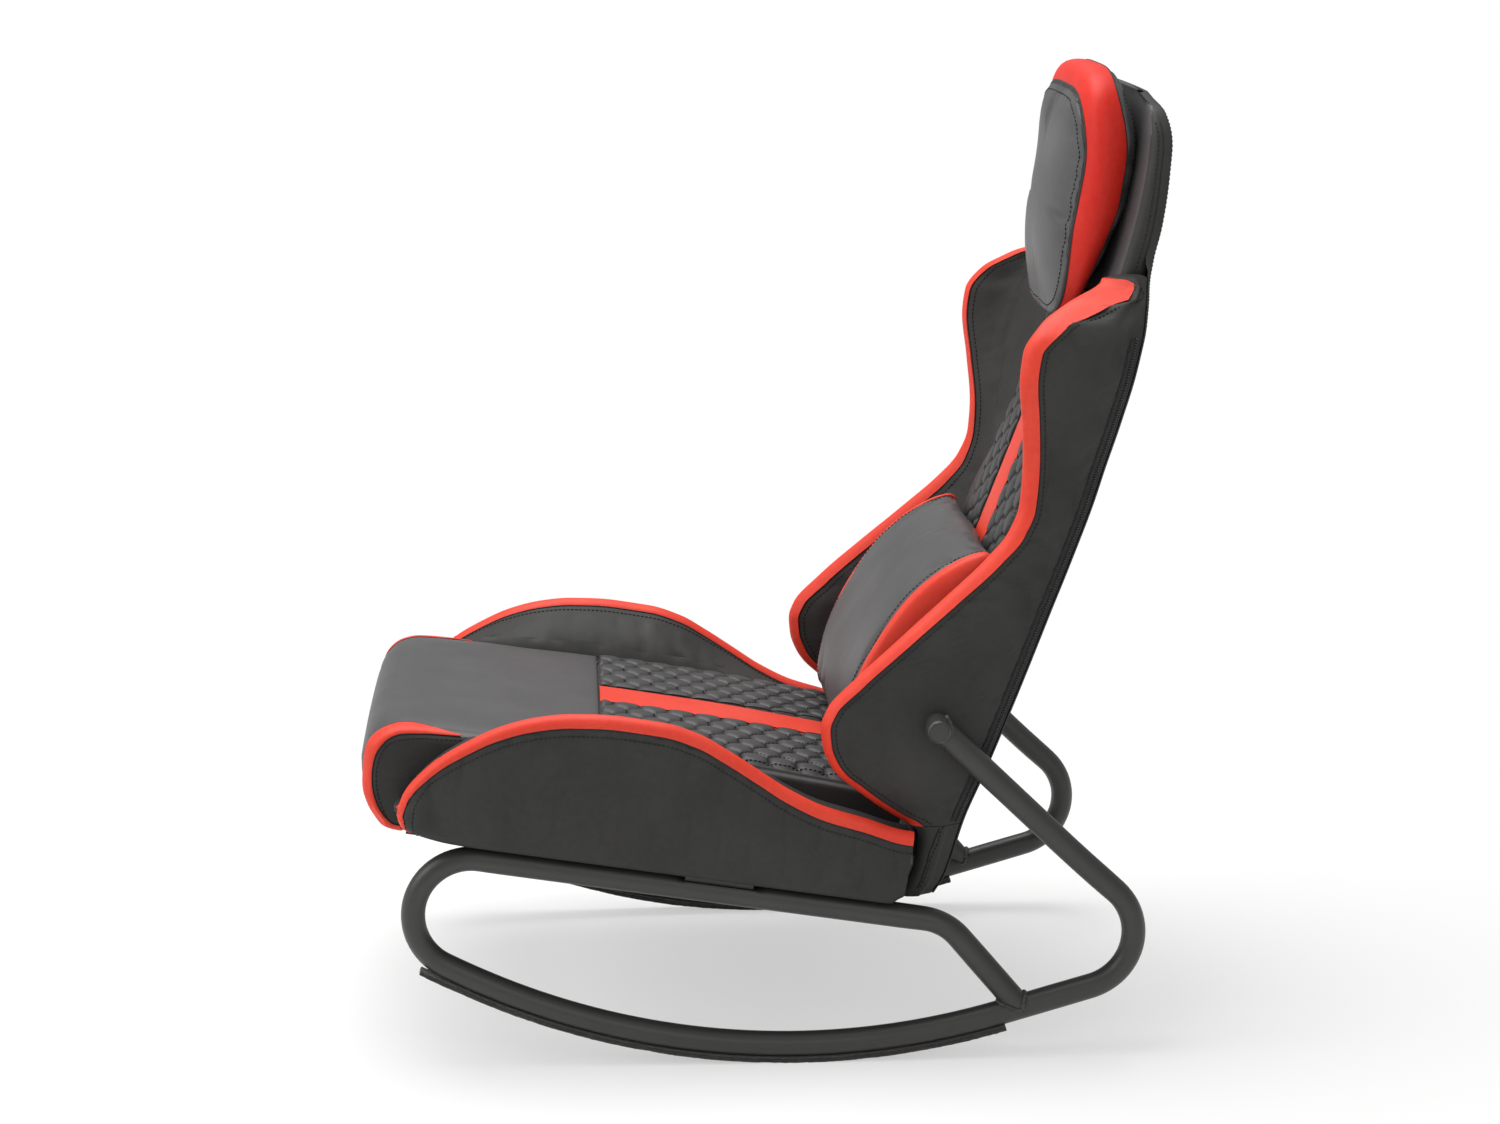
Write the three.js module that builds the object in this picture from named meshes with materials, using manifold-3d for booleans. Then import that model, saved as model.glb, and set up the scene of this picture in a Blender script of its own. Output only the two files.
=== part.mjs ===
import * as THREE from 'three';
import { mergeVertices } from 'three/addons/utils/BufferGeometryUtils.js';
import Module from 'manifold-3d';

// Gaming rocker chair: a low racing-style seat and back on two bent-tube rocker frames.
// Millimetres, +Z up, the chair faces -Y, and the sitter's left is +X.
// Heights are from the floor and depths from the point where the runners touch it,
// until the finished chair is centred over its own outline.

const wasm = await Module();
wasm.setup();

const degrees = Math.PI / 180;

// Driving dimensions of the rocker frames
const tubeDiameter = 25;
const tubeWall = 1.5;
const bendRadius = 58;
const frameSpacing = 486;
const rockerRadius = 750;
const rockerStepAngle = 4.6 * degrees;
const frontRockerSteps = 6;
const rearRockerSteps = 3;
const railHeight = 165;
const railTilt = 8.92 * degrees;
const frameRear = 334.5;
const railRearLength = 126;
const legAngle = 50 * degrees;
const strutKinkDepth = 277.5;
const strutKinkHeight = 205;

// Driving dimensions of the seat, measured along and above the rails' centre lines
const seatFront = -452;
const seatRear = 94;
const boardFront = -392;
const boardThickness = 12;
const boardInset = 29;
const seatWidth = 528;
const bolsterWidth = 61;
const cushionCrown = 120;
const bolsterCrest = 166;
const bolsterSkirt = 14;
const quiltFront = -214;

// Driving dimensions of the back
const backBottom = 160;
const backTop = 948;
const backDepth = 371;
const backLean = 21.2 * degrees;
const coverThickness = 3;
const rearCrown = 5;
const padWidth = 344;
const wingSpacing = 472;
const wingShoulder = 13;

// Stripes, bands and quilting
const stripeWidth = 66;
const stripeThickness = 2;
const bandThickness = 2;
const quiltPitch = 28;
const quiltDepth = 4;
const quiltRow = 24;

// Clearances
const seatedGap = 0.3;
const softGap = 0.5;
const overrun = 4;

// Materials, one per finish
const finishes = {
  frame: { color: 0x363636, roughness: 0.55, metalness: 0.5 },
  blackCover: { color: 0x3b3b3a, roughness: 0.5, metalness: 0 },
  seatCover: { color: 0x5a585a, roughness: 0.5, metalness: 0 },
  redCover: { color: 0xe0453c, roughness: 0.45, metalness: 0 },
  plastic: { color: 0x242424, roughness: 0.6, metalness: 0 },
  felt: { color: 0x2b2725, roughness: 1, metalness: 0 },
  plywood: { color: 0xb58f62, roughness: 0.8, metalness: 0 },
  steel: { color: 0x9a9a98, roughness: 0.4, metalness: 0.9 },
  fabric: { color: 0x1d1d1e, roughness: 0.95, metalness: 0 },
};

const chair = new THREE.Group();

function addMesh(parent, name, geometry, finish) {
  const material = new THREE.MeshStandardMaterial(finishes[finish]);
  const mesh = new THREE.Mesh(geometry, material);
  mesh.name = name;
  parent.add(mesh);
  return mesh;
}

// Smooth curve through points of a table [place, value], flat beyond its ends and at its turns
function smooth(table) {
  const rise = (i) => (table[i + 1][1] - table[i][1]) / (table[i + 1][0] - table[i][0]);
  const slopes = table.map((point, i) => {
    if (i === 0 || i === table.length - 1 || rise(i - 1) * rise(i) <= 0) return 0;
    return 2 / (1 / rise(i - 1) + 1 / rise(i));
  });
  return (place) => {
    if (place <= table[0][0]) return table[0][1];
    const i = table.findIndex((point) => point[0] >= place);
    if (i < 0) return table[table.length - 1][1];
    const [x0, y0] = table[i - 1];
    const [x1, y1] = table[i];
    const span = x1 - x0;
    const t = (place - x0) / span;
    const start = y0 * (1 + 2 * t) * (1 - t) ** 2 + y1 * t * t * (3 - 2 * t);
    return start + span * (slopes[i - 1] * t * (1 - t) ** 2 + slopes[i] * t * t * (t - 1));
  };
}

function signedVolume(positions, triangles) {
  const [a, b, c] = [new THREE.Vector3(), new THREE.Vector3(), new THREE.Vector3()];
  let sum = 0;
  for (let i = 0; i < triangles.length; i += 3) {
    a.fromArray(positions, triangles[i] * 3);
    b.fromArray(positions, triangles[i + 1] * 3);
    c.fromArray(positions, triangles[i + 2] * 3);
    sum += a.dot(b.cross(c));
  }
  return sum;
}

// Closed body through a row of equal outlines. A ring body joins its last outline to its first,
// any other body is closed by a flat cap at each end.
function loft(outlines, ringBody = false) {
  const count = outlines[0].length;
  const rows = outlines.length;
  const points = outlines.flat();
  const positions = points.flatMap((point) => [point.x, point.y, point.z]);
  const triangles = [];
  const steps = ringBody ? rows : rows - 1;
  for (let row = 0; row < steps; row++) {
    const next = (row + 1) % rows;
    for (let i = 0; i < count; i++) {
      const j = (i + 1) % count;
      const [a, b] = [row * count + i, row * count + j];
      const [c, d] = [next * count + j, next * count + i];
      const alongIsShorter = points[a].distanceTo(points[c]) <= points[b].distanceTo(points[d]);
      if (alongIsShorter) triangles.push(a, b, c, a, c, d);
      else triangles.push(a, b, d, b, c, d);
    }
  }
  if (!ringBody) {
    triangles.push(...capTriangles(outlines[0], 0, true));
    triangles.push(...capTriangles(outlines[rows - 1], (rows - 1) * count, false));
  }
  if (signedVolume(positions, triangles) < 0) {
    for (let i = 0; i < triangles.length; i += 3) {
      [triangles[i], triangles[i + 1]] = [triangles[i + 1], triangles[i]];
    }
  }
  const geometry = new THREE.BufferGeometry();
  geometry.setAttribute('position', new THREE.Float32BufferAttribute(positions, 3));
  geometry.setIndex(triangles);
  return geometry;
}

function capTriangles(outline, first, facesBack) {
  const normal = new THREE.Vector3();
  outline.forEach((point, i) => {
    const next = outline[(i + 1) % outline.length];
    normal.add(new THREE.Vector3().crossVectors(point, next));
  });
  normal.normalize();
  const facesSideways = Math.abs(normal.x) > Math.SQRT1_2;
  const across = new THREE.Vector3(facesSideways ? 0 : 1, facesSideways ? 1 : 0, 0);
  across.addScaledVector(normal, -across.dot(normal)).normalize();
  const up = new THREE.Vector3().crossVectors(normal, across);
  const flat = outline.map((point) => new THREE.Vector2(point.dot(across), point.dot(up)));
  const faces = THREE.ShapeUtils.triangulateShape(flat, []);
  return faces.flatMap((face) => {
    const corners = facesBack ? face.slice().reverse() : face;
    return corners.map((corner) => first + corner);
  });
}

function toSolid(geometry) {
  const bare = new THREE.BufferGeometry();
  bare.setAttribute('position', geometry.getAttribute('position').clone());
  if (geometry.index) bare.setIndex(geometry.index.clone());
  const merged = mergeVertices(bare);
  return new wasm.Manifold(new wasm.Mesh({
    numProp: 3,
    vertProperties: new Float32Array(merged.getAttribute('position').array),
    triVerts: new Uint32Array(merged.index.array),
  }));
}

function toGeometry(solid) {
  const mesh = solid.getMesh();
  const geometry = new THREE.BufferGeometry();
  geometry.setAttribute('position', new THREE.BufferAttribute(new Float32Array(mesh.vertProperties), 3));
  geometry.setIndex(new THREE.BufferAttribute(new Uint32Array(mesh.triVerts), 1));
  return geometry;
}

// Box given by its two corners
function block(low, high) {
  const size = high.clone().sub(low);
  const geometry = new THREE.BoxGeometry(size.x, size.y, size.z);
  geometry.translate(low.x + size.x / 2, low.y + size.y / 2, low.z + size.z / 2);
  return geometry;
}

// Round bar or ring along X on one side of the chair, from a profile of [radius, place across],
// its axis at a place of [depth, height]
function turnedAcross(side, profile, sides, [depth, height]) {
  const geometry = new THREE.LatheGeometry(profile.map(([r, x]) => new THREE.Vector2(r, x)), sides);
  geometry.rotateZ(-side * Math.PI / 2);
  geometry.translate(0, depth, height);
  return geometry;
}

// Sheet on one side of the chair, from an outline of [depth, height] and two places across
function sheetAcross(side, outline, inside, outside) {
  const sheet = new THREE.ExtrudeGeometry(outline, {
    depth: outside - inside, bevelEnabled: false, curveSegments: 6,
  });
  sheet.applyMatrix4(new THREE.Matrix4().makeBasis(
    new THREE.Vector3(0, 1, 0), new THREE.Vector3(0, 0, 1), new THREE.Vector3(1, 0, 0)));
  sheet.translate(side > 0 ? inside : -outside, 0, 0);
  return sheet;
}

// A bent tube's centre line, met in equal steps at hand-set stations,
// so that a straight run costs one step and a bend a few
class StationPath extends THREE.Curve {
  constructor() {
    super();
    this.points = [];
    this.tangents = [];
  }

  add(point, tangent) {
    this.points.push(point);
    this.tangents.push(tangent.clone().normalize());
  }

  station(u) {
    return Math.round(u * (this.points.length - 1));
  }

  getPoint(t) {
    return this.points[this.station(t)].clone();
  }

  getPointAt(u) {
    return this.getPoint(u);
  }

  getTangentAt(u) {
    return this.tangents[this.station(u)].clone();
  }

  sweep(radius, sides) {
    const section = new THREE.Shape();
    for (let i = 0; i < sides; i++) {
      const angle = (i + 0.5) / sides * 2 * Math.PI;
      const [across, up] = [radius * Math.cos(angle), radius * Math.sin(angle)];
      if (i === 0) section.moveTo(across, up);
      else section.lineTo(across, up);
    }
    section.closePath();
    return new THREE.ExtrudeGeometry(section, {
      steps: this.points.length - 1,
      extrudePath: this,
      curveSegments: 1,
      bevelEnabled: false,
    });
  }
}

// Side frames
// In the side plane a place is [depth, height], and every bend turns the same way round.
const stripThickness = 5;
const stripWidth = 20;
const tubeRadius = tubeDiameter / 2;
const runnerRadius = rockerRadius - stripThickness - seatedGap - tubeRadius;
const rockerCentre = [0, rockerRadius * Math.cos(rockerStepAngle / 2)];
const tailAngle = (rearRockerSteps + 0.5) * rockerStepAngle;
const railDirection = [Math.cos(railTilt), -Math.sin(railTilt)];
const railNormal = [Math.sin(railTilt), Math.cos(railTilt)];
const sleeveDiameter = 22;
const sleeveBore = 17;
const sleeveDepth = 134.5;
const sleeveHeight = 347;
const sleeveOuterEnd = 283;
const sleeveInnerEnd = 222;
const sleeveShoulder = 4;
const boltDiameter = 8;
const strutTopSide = 264;
const flatCentre = -81;
const flatLength = 73;
const flatDepth = 5;
const weldFlare = 4;
const weldLength = 12;

function bendCentreInFront() {
  // The front bend touches the runner's arc inside and the rail from below
  const offset = -bendRadius;
  const foot = [offset * railNormal[0], railHeight + offset * railNormal[1]];
  const toFoot = [foot[0] - rockerCentre[0], foot[1] - rockerCentre[1]];
  const along = toFoot[0] * railDirection[0] + toFoot[1] * railDirection[1];
  const reach = runnerRadius - bendRadius;
  const across = toFoot[0] ** 2 + toFoot[1] ** 2 - reach ** 2;
  const travel = -along - Math.sqrt(along ** 2 - across);
  return [foot[0] + travel * railDirection[0], foot[1] + travel * railDirection[1]];
}

const frontBendCentre = bendCentreInFront();
const tailStart = [
  rockerCentre[0] + runnerRadius * Math.sin(tailAngle),
  rockerCentre[1] - runnerRadius * Math.cos(tailAngle),
];
const rearBendDepth = frameRear - bendRadius;
const rearBendHeight = tailStart[1] + (rearBendDepth - tailStart[0]) * Math.tan(tailAngle)
  + bendRadius / Math.cos(tailAngle);
const rearBendCentre = [rearBendDepth, rearBendHeight];

const railBendStart = [
  railRearLength * railDirection[0],
  railHeight + railRearLength * railDirection[1],
];
const railBendCentre = [
  railBendStart[0] - bendRadius * railNormal[0],
  railBendStart[1] - bendRadius * railNormal[1],
];
const legDirection = [Math.cos(legAngle), -Math.sin(legAngle)];
const legStart = [
  railBendCentre[0] + bendRadius * Math.sin(legAngle),
  railBendCentre[1] + bendRadius * Math.cos(legAngle),
];

function legLengthToRunner() {
  // Where the leg's centre line meets the centre line of the runner's straight tail
  const tail = [Math.cos(tailAngle), Math.sin(tailAngle)];
  const gap = [tailStart[0] - legStart[0], tailStart[1] - legStart[1]];
  const cross = legDirection[0] * tail[1] - legDirection[1] * tail[0];
  return (gap[0] * tail[1] - gap[1] * tail[0]) / cross;
}

const legToRunner = legLengthToRunner();

function framePath() {
  const kinkReach = Math.hypot(strutKinkDepth - rearBendCentre[0], strutKinkHeight - rearBendCentre[1]);
  const kinkBearing = Math.atan2(strutKinkHeight - rearBendCentre[1], strutKinkDepth - rearBendCentre[0]);
  const rearBendStart = kinkBearing - Math.acos(bendRadius / kinkReach);
  const frontBendEntry = Math.atan2(
    frontBendCentre[1] - rockerCentre[1], frontBendCentre[0] - rockerCentre[0]);
  const railBearing = Math.PI / 2 - railTilt;
  return { rearBendStart, frontBendEntry, railBearing };
}

function makeFramePath(side) {
  const path = new StationPath();
  const { rearBendStart, frontBendEntry, railBearing } = framePath();
  const flatX = side * frameSpacing / 2;
  const place = ([depth, height], x = flatX) => new THREE.Vector3(x, depth, height);
  const turn = (centre, radius, from, to, steps) => {
    for (let i = 0; i <= steps; i++) {
      const angle = from + (to - from) * i / steps;
      const point = [centre[0] + radius * Math.cos(angle), centre[1] + radius * Math.sin(angle)];
      path.add(place(point), place([Math.sin(angle), -Math.cos(angle)], 0));
    }
  };
  const top = place([sleeveDepth, sleeveHeight], side * strutTopSide);
  const kink = place([strutKinkDepth, strutKinkHeight]);
  const bendEntry = place([
    rearBendCentre[0] + bendRadius * Math.cos(rearBendStart),
    rearBendCentre[1] + bendRadius * Math.sin(rearBendStart),
  ]);
  const upper = kink.clone().sub(top).normalize();
  const lower = bendEntry.clone().sub(kink).normalize();
  path.add(top, upper);
  path.add(kink, upper.clone().add(lower));
  turn(rearBendCentre, bendRadius, rearBendStart, tailAngle - Math.PI / 2, 10);
  const rockerSteps = frontRockerSteps - 1 + rearRockerSteps;
  const lastRockerAngle = tailAngle - Math.PI / 2 - (rockerSteps + 1) * rockerStepAngle;
  turn(rockerCentre, runnerRadius, tailAngle - Math.PI / 2, lastRockerAngle, rockerSteps + 1);
  turn(frontBendCentre, bendRadius, frontBendEntry + 2 * Math.PI, railBearing, 13);
  turn(railBendCentre, bendRadius, railBearing, Math.PI / 2 - legAngle, 4);
  const legRun = legToRunner - tubeRadius - weldLength / 2;
  const legEnd = [legStart[0] + legRun * legDirection[0], legStart[1] + legRun * legDirection[1]];
  path.add(place(legEnd), place(legDirection, 0));
  return path;
}

function weldBead(side) {
  const profile = [
    [0, 0],
    [tubeRadius + weldFlare, 0],
    [tubeRadius + weldFlare, tubeRadius],
    [tubeRadius, tubeRadius + weldLength],
    [0, tubeRadius + weldLength],
  ];
  const bead = new THREE.LatheGeometry(profile.map(([r, z]) => new THREE.Vector2(r, z)), 16);
  bead.rotateX(Math.PI / 2);
  bead.rotateX(Math.atan2(legDirection[0], -legDirection[1]));
  bead.translate(
    side * frameSpacing / 2,
    legStart[0] + legToRunner * legDirection[0],
    legStart[1] + legToRunner * legDirection[1]);
  return toSolid(bead);
}

// The pressed flat in the rail's top, as a cutter whose floor lies below the rail's top line
function flatCutter(side, floorBelowTop) {
  const floor = tubeRadius - floorBelowTop;
  const cutter = block(
    new THREE.Vector3(-tubeDiameter, flatCentre - flatLength / 2, floor),
    new THREE.Vector3(tubeDiameter, flatCentre + flatLength / 2, tubeDiameter));
  cutter.rotateX(-railTilt);
  cutter.translate(side * frameSpacing / 2, 0, railHeight);
  return toSolid(cutter);
}

function sideFrame(side) {
  const path = makeFramePath(side);
  const outside = toSolid(path.sweep(tubeRadius, 12)).subtract(flatCutter(side, flatDepth));
  const hollow = toSolid(path.sweep(tubeRadius - tubeWall, 6));
  const inside = hollow.subtract(flatCutter(side, flatDepth + tubeWall));
  const axis = [sleeveDepth, sleeveHeight];
  const sleeve = turnedAcross(side, [
    [0, sleeveInnerEnd], [sleeveDiameter / 2, sleeveInnerEnd],
    [sleeveDiameter / 2, sleeveOuterEnd], [0, sleeveOuterEnd],
  ], 20, axis);
  const boltRoom = boltDiameter / 2 + seatedGap;
  const shoulder = sleeveInnerEnd + sleeveShoulder;
  const bore = turnedAcross(side, [
    [0, sleeveInnerEnd - overrun], [boltRoom, sleeveInnerEnd - overrun], [boltRoom, shoulder],
    [sleeveBore / 2, shoulder], [sleeveBore / 2, sleeveOuterEnd + overrun], [0, sleeveOuterEnd + overrun],
  ], 16, axis);
  const whole = outside.add(toSolid(sleeve)).add(weldBead(side));
  return toGeometry(whole.subtract(inside).subtract(toSolid(bore)));
}

// Felt strip under the runner
function feltStrip(side) {
  const outlines = [];
  for (let i = -frontRockerSteps; i <= rearRockerSteps + 1; i++) {
    const angle = (i - 0.5) * rockerStepAngle;
    const [inner, outer] = [rockerRadius - stripThickness, rockerRadius];
    const corner = (x, radius) => new THREE.Vector3(
      side * frameSpacing / 2 + x, radius * Math.sin(angle), rockerCentre[1] - radius * Math.cos(angle));
    outlines.push([
      corner(-stripWidth / 2, outer), corner(stripWidth / 2, outer),
      corner(stripWidth / 2, inner), corner(-stripWidth / 2, inner),
    ]);
  }
  return loft(outlines);
}

// Seat
// It lies in a frame of its own that is tilted with the rails: the second axis runs back
// along the rails and the third stands square on them, from their centre lines.
const seatLength = seatRear - seatFront;
const boardWidth = seatWidth - 2 * boardInset;
const noseWidth = seatWidth - 2 * bolsterWidth;
const railTop = tubeRadius;
const boardBottom = railTop + 2 * seatedGap;
const boardTop = boardBottom + boardThickness;
const foamBottom = boardTop + seatedGap;
const crownDrop = 1.5;
const edgeDrop = 3;
const edgeRound = 16;
const drawIn = 3;
const crestInset = 8;
const crestRound = 11;
const skirtRound = 6;
const seatQuiltColumns = 11;

const cushionTopShares = [
  [0, 0.64], [0.006, 0.69], [0.016, 0.745], [0.032, 0.825], [0.055, 0.9], [0.095, 0.945], [0.187, 0.967],
  [0.278, 0.983], [0.436, 1], [0.645, 0.992], [0.828, 0.958], [0.938, 0.933], [1, 0.9],
];
const cushionHalfShares = [
  [0, 0.9], [0.006, 0.935], [0.016, 0.965], [0.032, 0.985], [0.06, 1], [0.187, 1], [0.3, 0.937], [1, 0.937],
];
const noseBottomShares = [[0, 0.56], [0.006, 0.49], [0.016, 0.41], [0.032, 0.3], [0.055, 0.15], [0.095, 0.06]];
const bolsterCrestShares = [
  [0.092, 0.275], [0.099, 0.36], [0.115, 0.46], [0.152, 0.608], [0.19, 0.711], [0.249, 0.839],
  [0.31, 0.924], [0.372, 0.973], [0.462, 1], [0.535, 0.997], [0.599, 0.96], [0.654, 0.888],
  [0.714, 0.796], [0.777, 0.699], [0.846, 0.626], [0.919, 0.59], [1, 0.547],
];

const skirtRiseShares = [
  [0.092, 0.14], [0.099, 0.085], [0.115, 0.05], [0.152, 0.02], [0.19, 0.006], [0.249, 0], [1, 0],
];

const cushionTopShare = smooth(cushionTopShares);
const cushionHalfShare = smooth(cushionHalfShares);
const noseBottomShare = smooth(noseBottomShares);
const bolsterCrestShare = smooth(bolsterCrestShares);
const skirtRiseShare = smooth(skirtRiseShares);
const seatShare = (place) => (place - seatFront) / seatLength;
const seatPlace = (share) => seatFront + share * seatLength;
const bolsterPlaces = bolsterCrestShares.map(([share]) => seatPlace(share));
const bolsterFront = bolsterPlaces[0];
const cushionTop = (place) => cushionCrown * cushionTopShare(seatShare(place));
const cushionHalf = (place) => noseWidth / 2 * cushionHalfShare(seatShare(place));

function cushionBottom(place) {
  if (place > boardFront - softGap) return foamBottom;
  return cushionCrown * noseBottomShare(seatShare(place));
}

// Height that the quilting adds: rows of cells run along the piece, every other row half a cell on
function quiltRise(across, along) {
  const firstRow = stripeWidth / 2 + quiltRow / 2;
  const row = Math.max(Math.round((Math.abs(across) - firstRow) / quiltRow), 0);
  const shift = row % 2 === 0 ? 0 : quiltPitch / 2;
  const cell = Math.round((along - shift) / quiltPitch) * quiltPitch + shift;
  const away = Math.hypot(Math.abs(across) - firstRow - row * quiltRow, along - cell);
  return quiltDepth * Math.max(0, 1 - (away / (quiltRow / 2)) ** 2);
}

// Places across a quilted piece, from right to left: two for each row of cells
function quiltColumns(count) {
  const right = [];
  for (let i = count; i >= 0; i--) right.push(stripeWidth / 2 + i * quiltRow / 2);
  return [...right, ...right.slice().reverse().map((across) => -across)];
}

function mirrored(points) {
  return points.slice().reverse().map(([across, other]) => [-across, other]);
}

function cushionOutline(place) {
  const half = cushionHalf(place);
  const bottom = cushionBottom(place);
  const top = cushionTop(place);
  const fullness = Math.min(1, (top - bottom) / (5 * edgeRound));
  const sideTop = top - crownDrop - edgeDrop;
  const quilted = place > quiltFront && place < seatRear;
  const rightSide = [
    [half - edgeRound, bottom],
    [half - drawIn, bottom + (sideTop - bottom) * 0.15],
    [half, sideTop - edgeRound * fullness],
    [half - edgeRound / 4, sideTop - edgeRound / 4 * fullness],
    [half - edgeRound, sideTop],
  ];
  const topPoints = quiltColumns(seatQuiltColumns).map((across) => {
    const rise = quilted ? quiltRise(across, place - quiltFront) : 0;
    return [across, top - crownDrop * (across / half) ** 2 + rise];
  });
  return [...rightSide, ...topPoints, ...mirrored(rightSide)]
    .map(([across, height]) => new THREE.Vector3(across, place, height));
}

function seatCushion() {
  const places = cushionTopShares.slice(0, noseBottomShares.length).map(([share]) => seatPlace(share));
  places.push(boardFront - 2 * softGap, boardFront - softGap / 2);
  places.push(...bolsterPlaces.filter((place) => place > boardFront && place < quiltFront));
  for (let place = quiltFront; place < seatRear; place += quiltPitch / 2) places.push(place);
  places.push(seatRear);
  return loft(places.map(cushionOutline));
}

function seatStripe() {
  const half = stripeWidth / 2 - softGap;
  const outline = (place) => {
    const edgeShare = stripeWidth / 2 / cushionHalf(place);
    const low = cushionTop(place) - crownDrop * edgeShare ** 2 + seatedGap;
    return [[half, low], [half, low + stripeThickness], [-half, low + stripeThickness], [-half, low]]
      .map(([across, height]) => new THREE.Vector3(across, place, height));
  };
  const places = [];
  for (let place = quiltFront; place < seatRear; place += quiltPitch) places.push(place);
  return loft(places.map(outline));
}

// Underside of a bolster beside the board: it rises to the bolster's rounded front end
function skirtHeight(place) {
  return bolsterSkirt + bolsterCrest * skirtRiseShare(seatShare(place));
}

// The line over a bolster's crest that its red band follows, from outside to inside.
// In plan the bolster's front end is rounded.
function crestLine(place) {
  const crest = bolsterCrest * bolsterCrestShare(seatShare(place)) - bandThickness - seatedGap;
  const drop = Math.min(crestRound, (crest - skirtHeight(place)) / 2);
  const frontInset = crestRound * Math.max(0, 1 - (place - bolsterFront) / (2 * crestRound)) ** 2;
  const outer = seatWidth / 2 - frontInset;
  const middle = outer - crestInset;
  return [
    [outer, crest - drop],
    [outer - crestInset / 4, crest - drop / 3],
    [middle, crest],
    [middle - crestRound * 0.5, crest - drop * 0.15],
    [middle - crestRound, crest - drop * 0.45],
  ];
}

function seatBolster(side) {
  const outline = (place) => {
    const crest = crestLine(place);
    const outer = crest[0][0];
    const [inner, innerShoulder] = crest[4];
    const base = cushionHalf(place) + softGap;
    const seam = Math.min(cushionTop(place) - crownDrop - edgeDrop, innerShoulder - skirtRound / 2);
    const boardEdge = boardWidth / 2 + softGap;
    const skirt = skirtHeight(place);
    const hem = Math.min(skirtRound, (crest[0][1] - skirt) / 2);
    return [
      [base, Math.max(foamBottom, skirt)],
      [boardEdge, Math.max(foamBottom, skirt)],
      [boardEdge + softGap, skirt],
      [outer - skirtRound, skirt],
      [outer, skirt + hem],
      ...crest,
      [base + (inner - base) * 0.78, seam + (innerShoulder - seam) * 0.28],
      [base, seam],
    ].map(([across, height]) => new THREE.Vector3(side * across, place, height));
  };
  return loft(bolsterPlaces.map(outline));
}

// Outline of a strip laid over a line of [across, other] points, a seated gap above it
function stripOver(line, thickness) {
  const offset = (distance) => line.map((point, i) => {
    const before = line[Math.max(i - 1, 0)];
    const after = line[Math.min(i + 1, line.length - 1)];
    const run = new THREE.Vector2(after[0] - before[0], after[1] - before[1]).normalize();
    return [point[0] + run.y * distance, point[1] - run.x * distance];
  });
  return [...offset(seatedGap + thickness), ...offset(seatedGap).reverse()];
}

function seatBand(side) {
  return loft(bolsterPlaces.map((place) => stripOver(crestLine(place), bandThickness)
    .map(([across, height]) => new THREE.Vector3(side * across, place, height))));
}

// Red crescent on the side of the cushion's front corner
const trimShares = [
  [0.174, 0.885], [0.132, 0.9], [0.095, 0.88], [0.07, 0.835], [0.049, 0.76], [0.037, 0.66], [0.033, 0.55],
  [0.038, 0.4], [0.051, 0.267], [0.07, 0.158], [0.088, 0.1], [0.092, 0.135], [0.075, 0.217], [0.06, 0.333],
  [0.051, 0.467], [0.051, 0.583], [0.059, 0.67], [0.073, 0.745], [0.099, 0.8], [0.132, 0.83],
];

function frontTrim(side) {
  const outline = new THREE.Shape(trimShares
    .map(([along, up]) => new THREE.Vector2(seatPlace(along), up * cushionCrown)));
  const inside = noseWidth / 2 + seatedGap;
  return sheetAcross(side, outline, inside, inside + bandThickness);
}

// Steel under the seat
const plateThickness = 5;
const plateWidth = 68;
const plateHole = 7;
const plateInset = 12;
const barDiameter = 22;
const barInset = 182;
const screwDiameter = 6;
const screwHead = 12;
const screwHeadHeight = 3.5;
const screwSide = 150;
const screwPitch = 36;
const screwDepth = 10;

function seatBoard() {
  return block(
    new THREE.Vector3(-boardWidth / 2, boardFront, boardBottom),
    new THREE.Vector3(boardWidth / 2, seatRear, boardTop));
}

const screwPlaces = [-1, 1].flatMap((across) => [-1, 1]
  .map((along) => [across * screwSide, flatCentre + along * screwPitch / 2]));

function cylinderUp(radius, low, high, sides, [x, y]) {
  const cylinder = new THREE.CylinderGeometry(radius, radius, high - low, sides);
  cylinder.rotateX(Math.PI / 2);
  cylinder.translate(x, y, (low + high) / 2);
  return cylinder;
}

function cut(geometry, ...cutters) {
  let solid = toSolid(geometry);
  for (const cutter of cutters) solid = solid.subtract(toSolid(cutter));
  return toGeometry(solid);
}

// Cross plate: its ends lie in the rails' pressed flats
const plateBottom = railTop - flatDepth + seatedGap;
const plateTop = plateBottom + plateThickness;

function seatCrossPlate() {
  const half = frameSpacing / 2 + plateInset / 2;
  const plate = block(
    new THREE.Vector3(-half, flatCentre - plateWidth / 2, plateBottom),
    new THREE.Vector3(half, flatCentre + plateWidth / 2, plateTop));
  const holes = screwPlaces.map((place) => cylinderUp(
    plateHole / 2, plateBottom - overrun, plateTop + overrun, 12, place));
  return cut(plate, ...holes);
}

function seatScrew(place) {
  const shank = cylinderUp(screwDiameter / 2, plateBottom - seatedGap, boardBottom + screwDepth, 12, place);
  const head = cylinderUp(
    screwHead / 2, plateBottom - seatedGap - screwHeadHeight, plateBottom - seatedGap, 12, place);
  return toGeometry(toSolid(shank).add(toSolid(head)));
}

function boardWithHoles() {
  return cut(seatBoard(), ...screwPlaces.map((place) => cylinderUp(
    screwDiameter / 2 + seatedGap, boardBottom - overrun, boardBottom + screwDepth + seatedGap, 12, place)));
}

// Straight round tube across the chair between its two ends
function crossTube(diameter, half, [depth, height]) {
  const wall = diameter / 2 - tubeWall;
  return turnedAcross(1, [
    [wall, -half], [diameter / 2, -half], [diameter / 2, half], [wall, half], [wall, -half],
  ], 14, [depth, height]);
}

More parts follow.
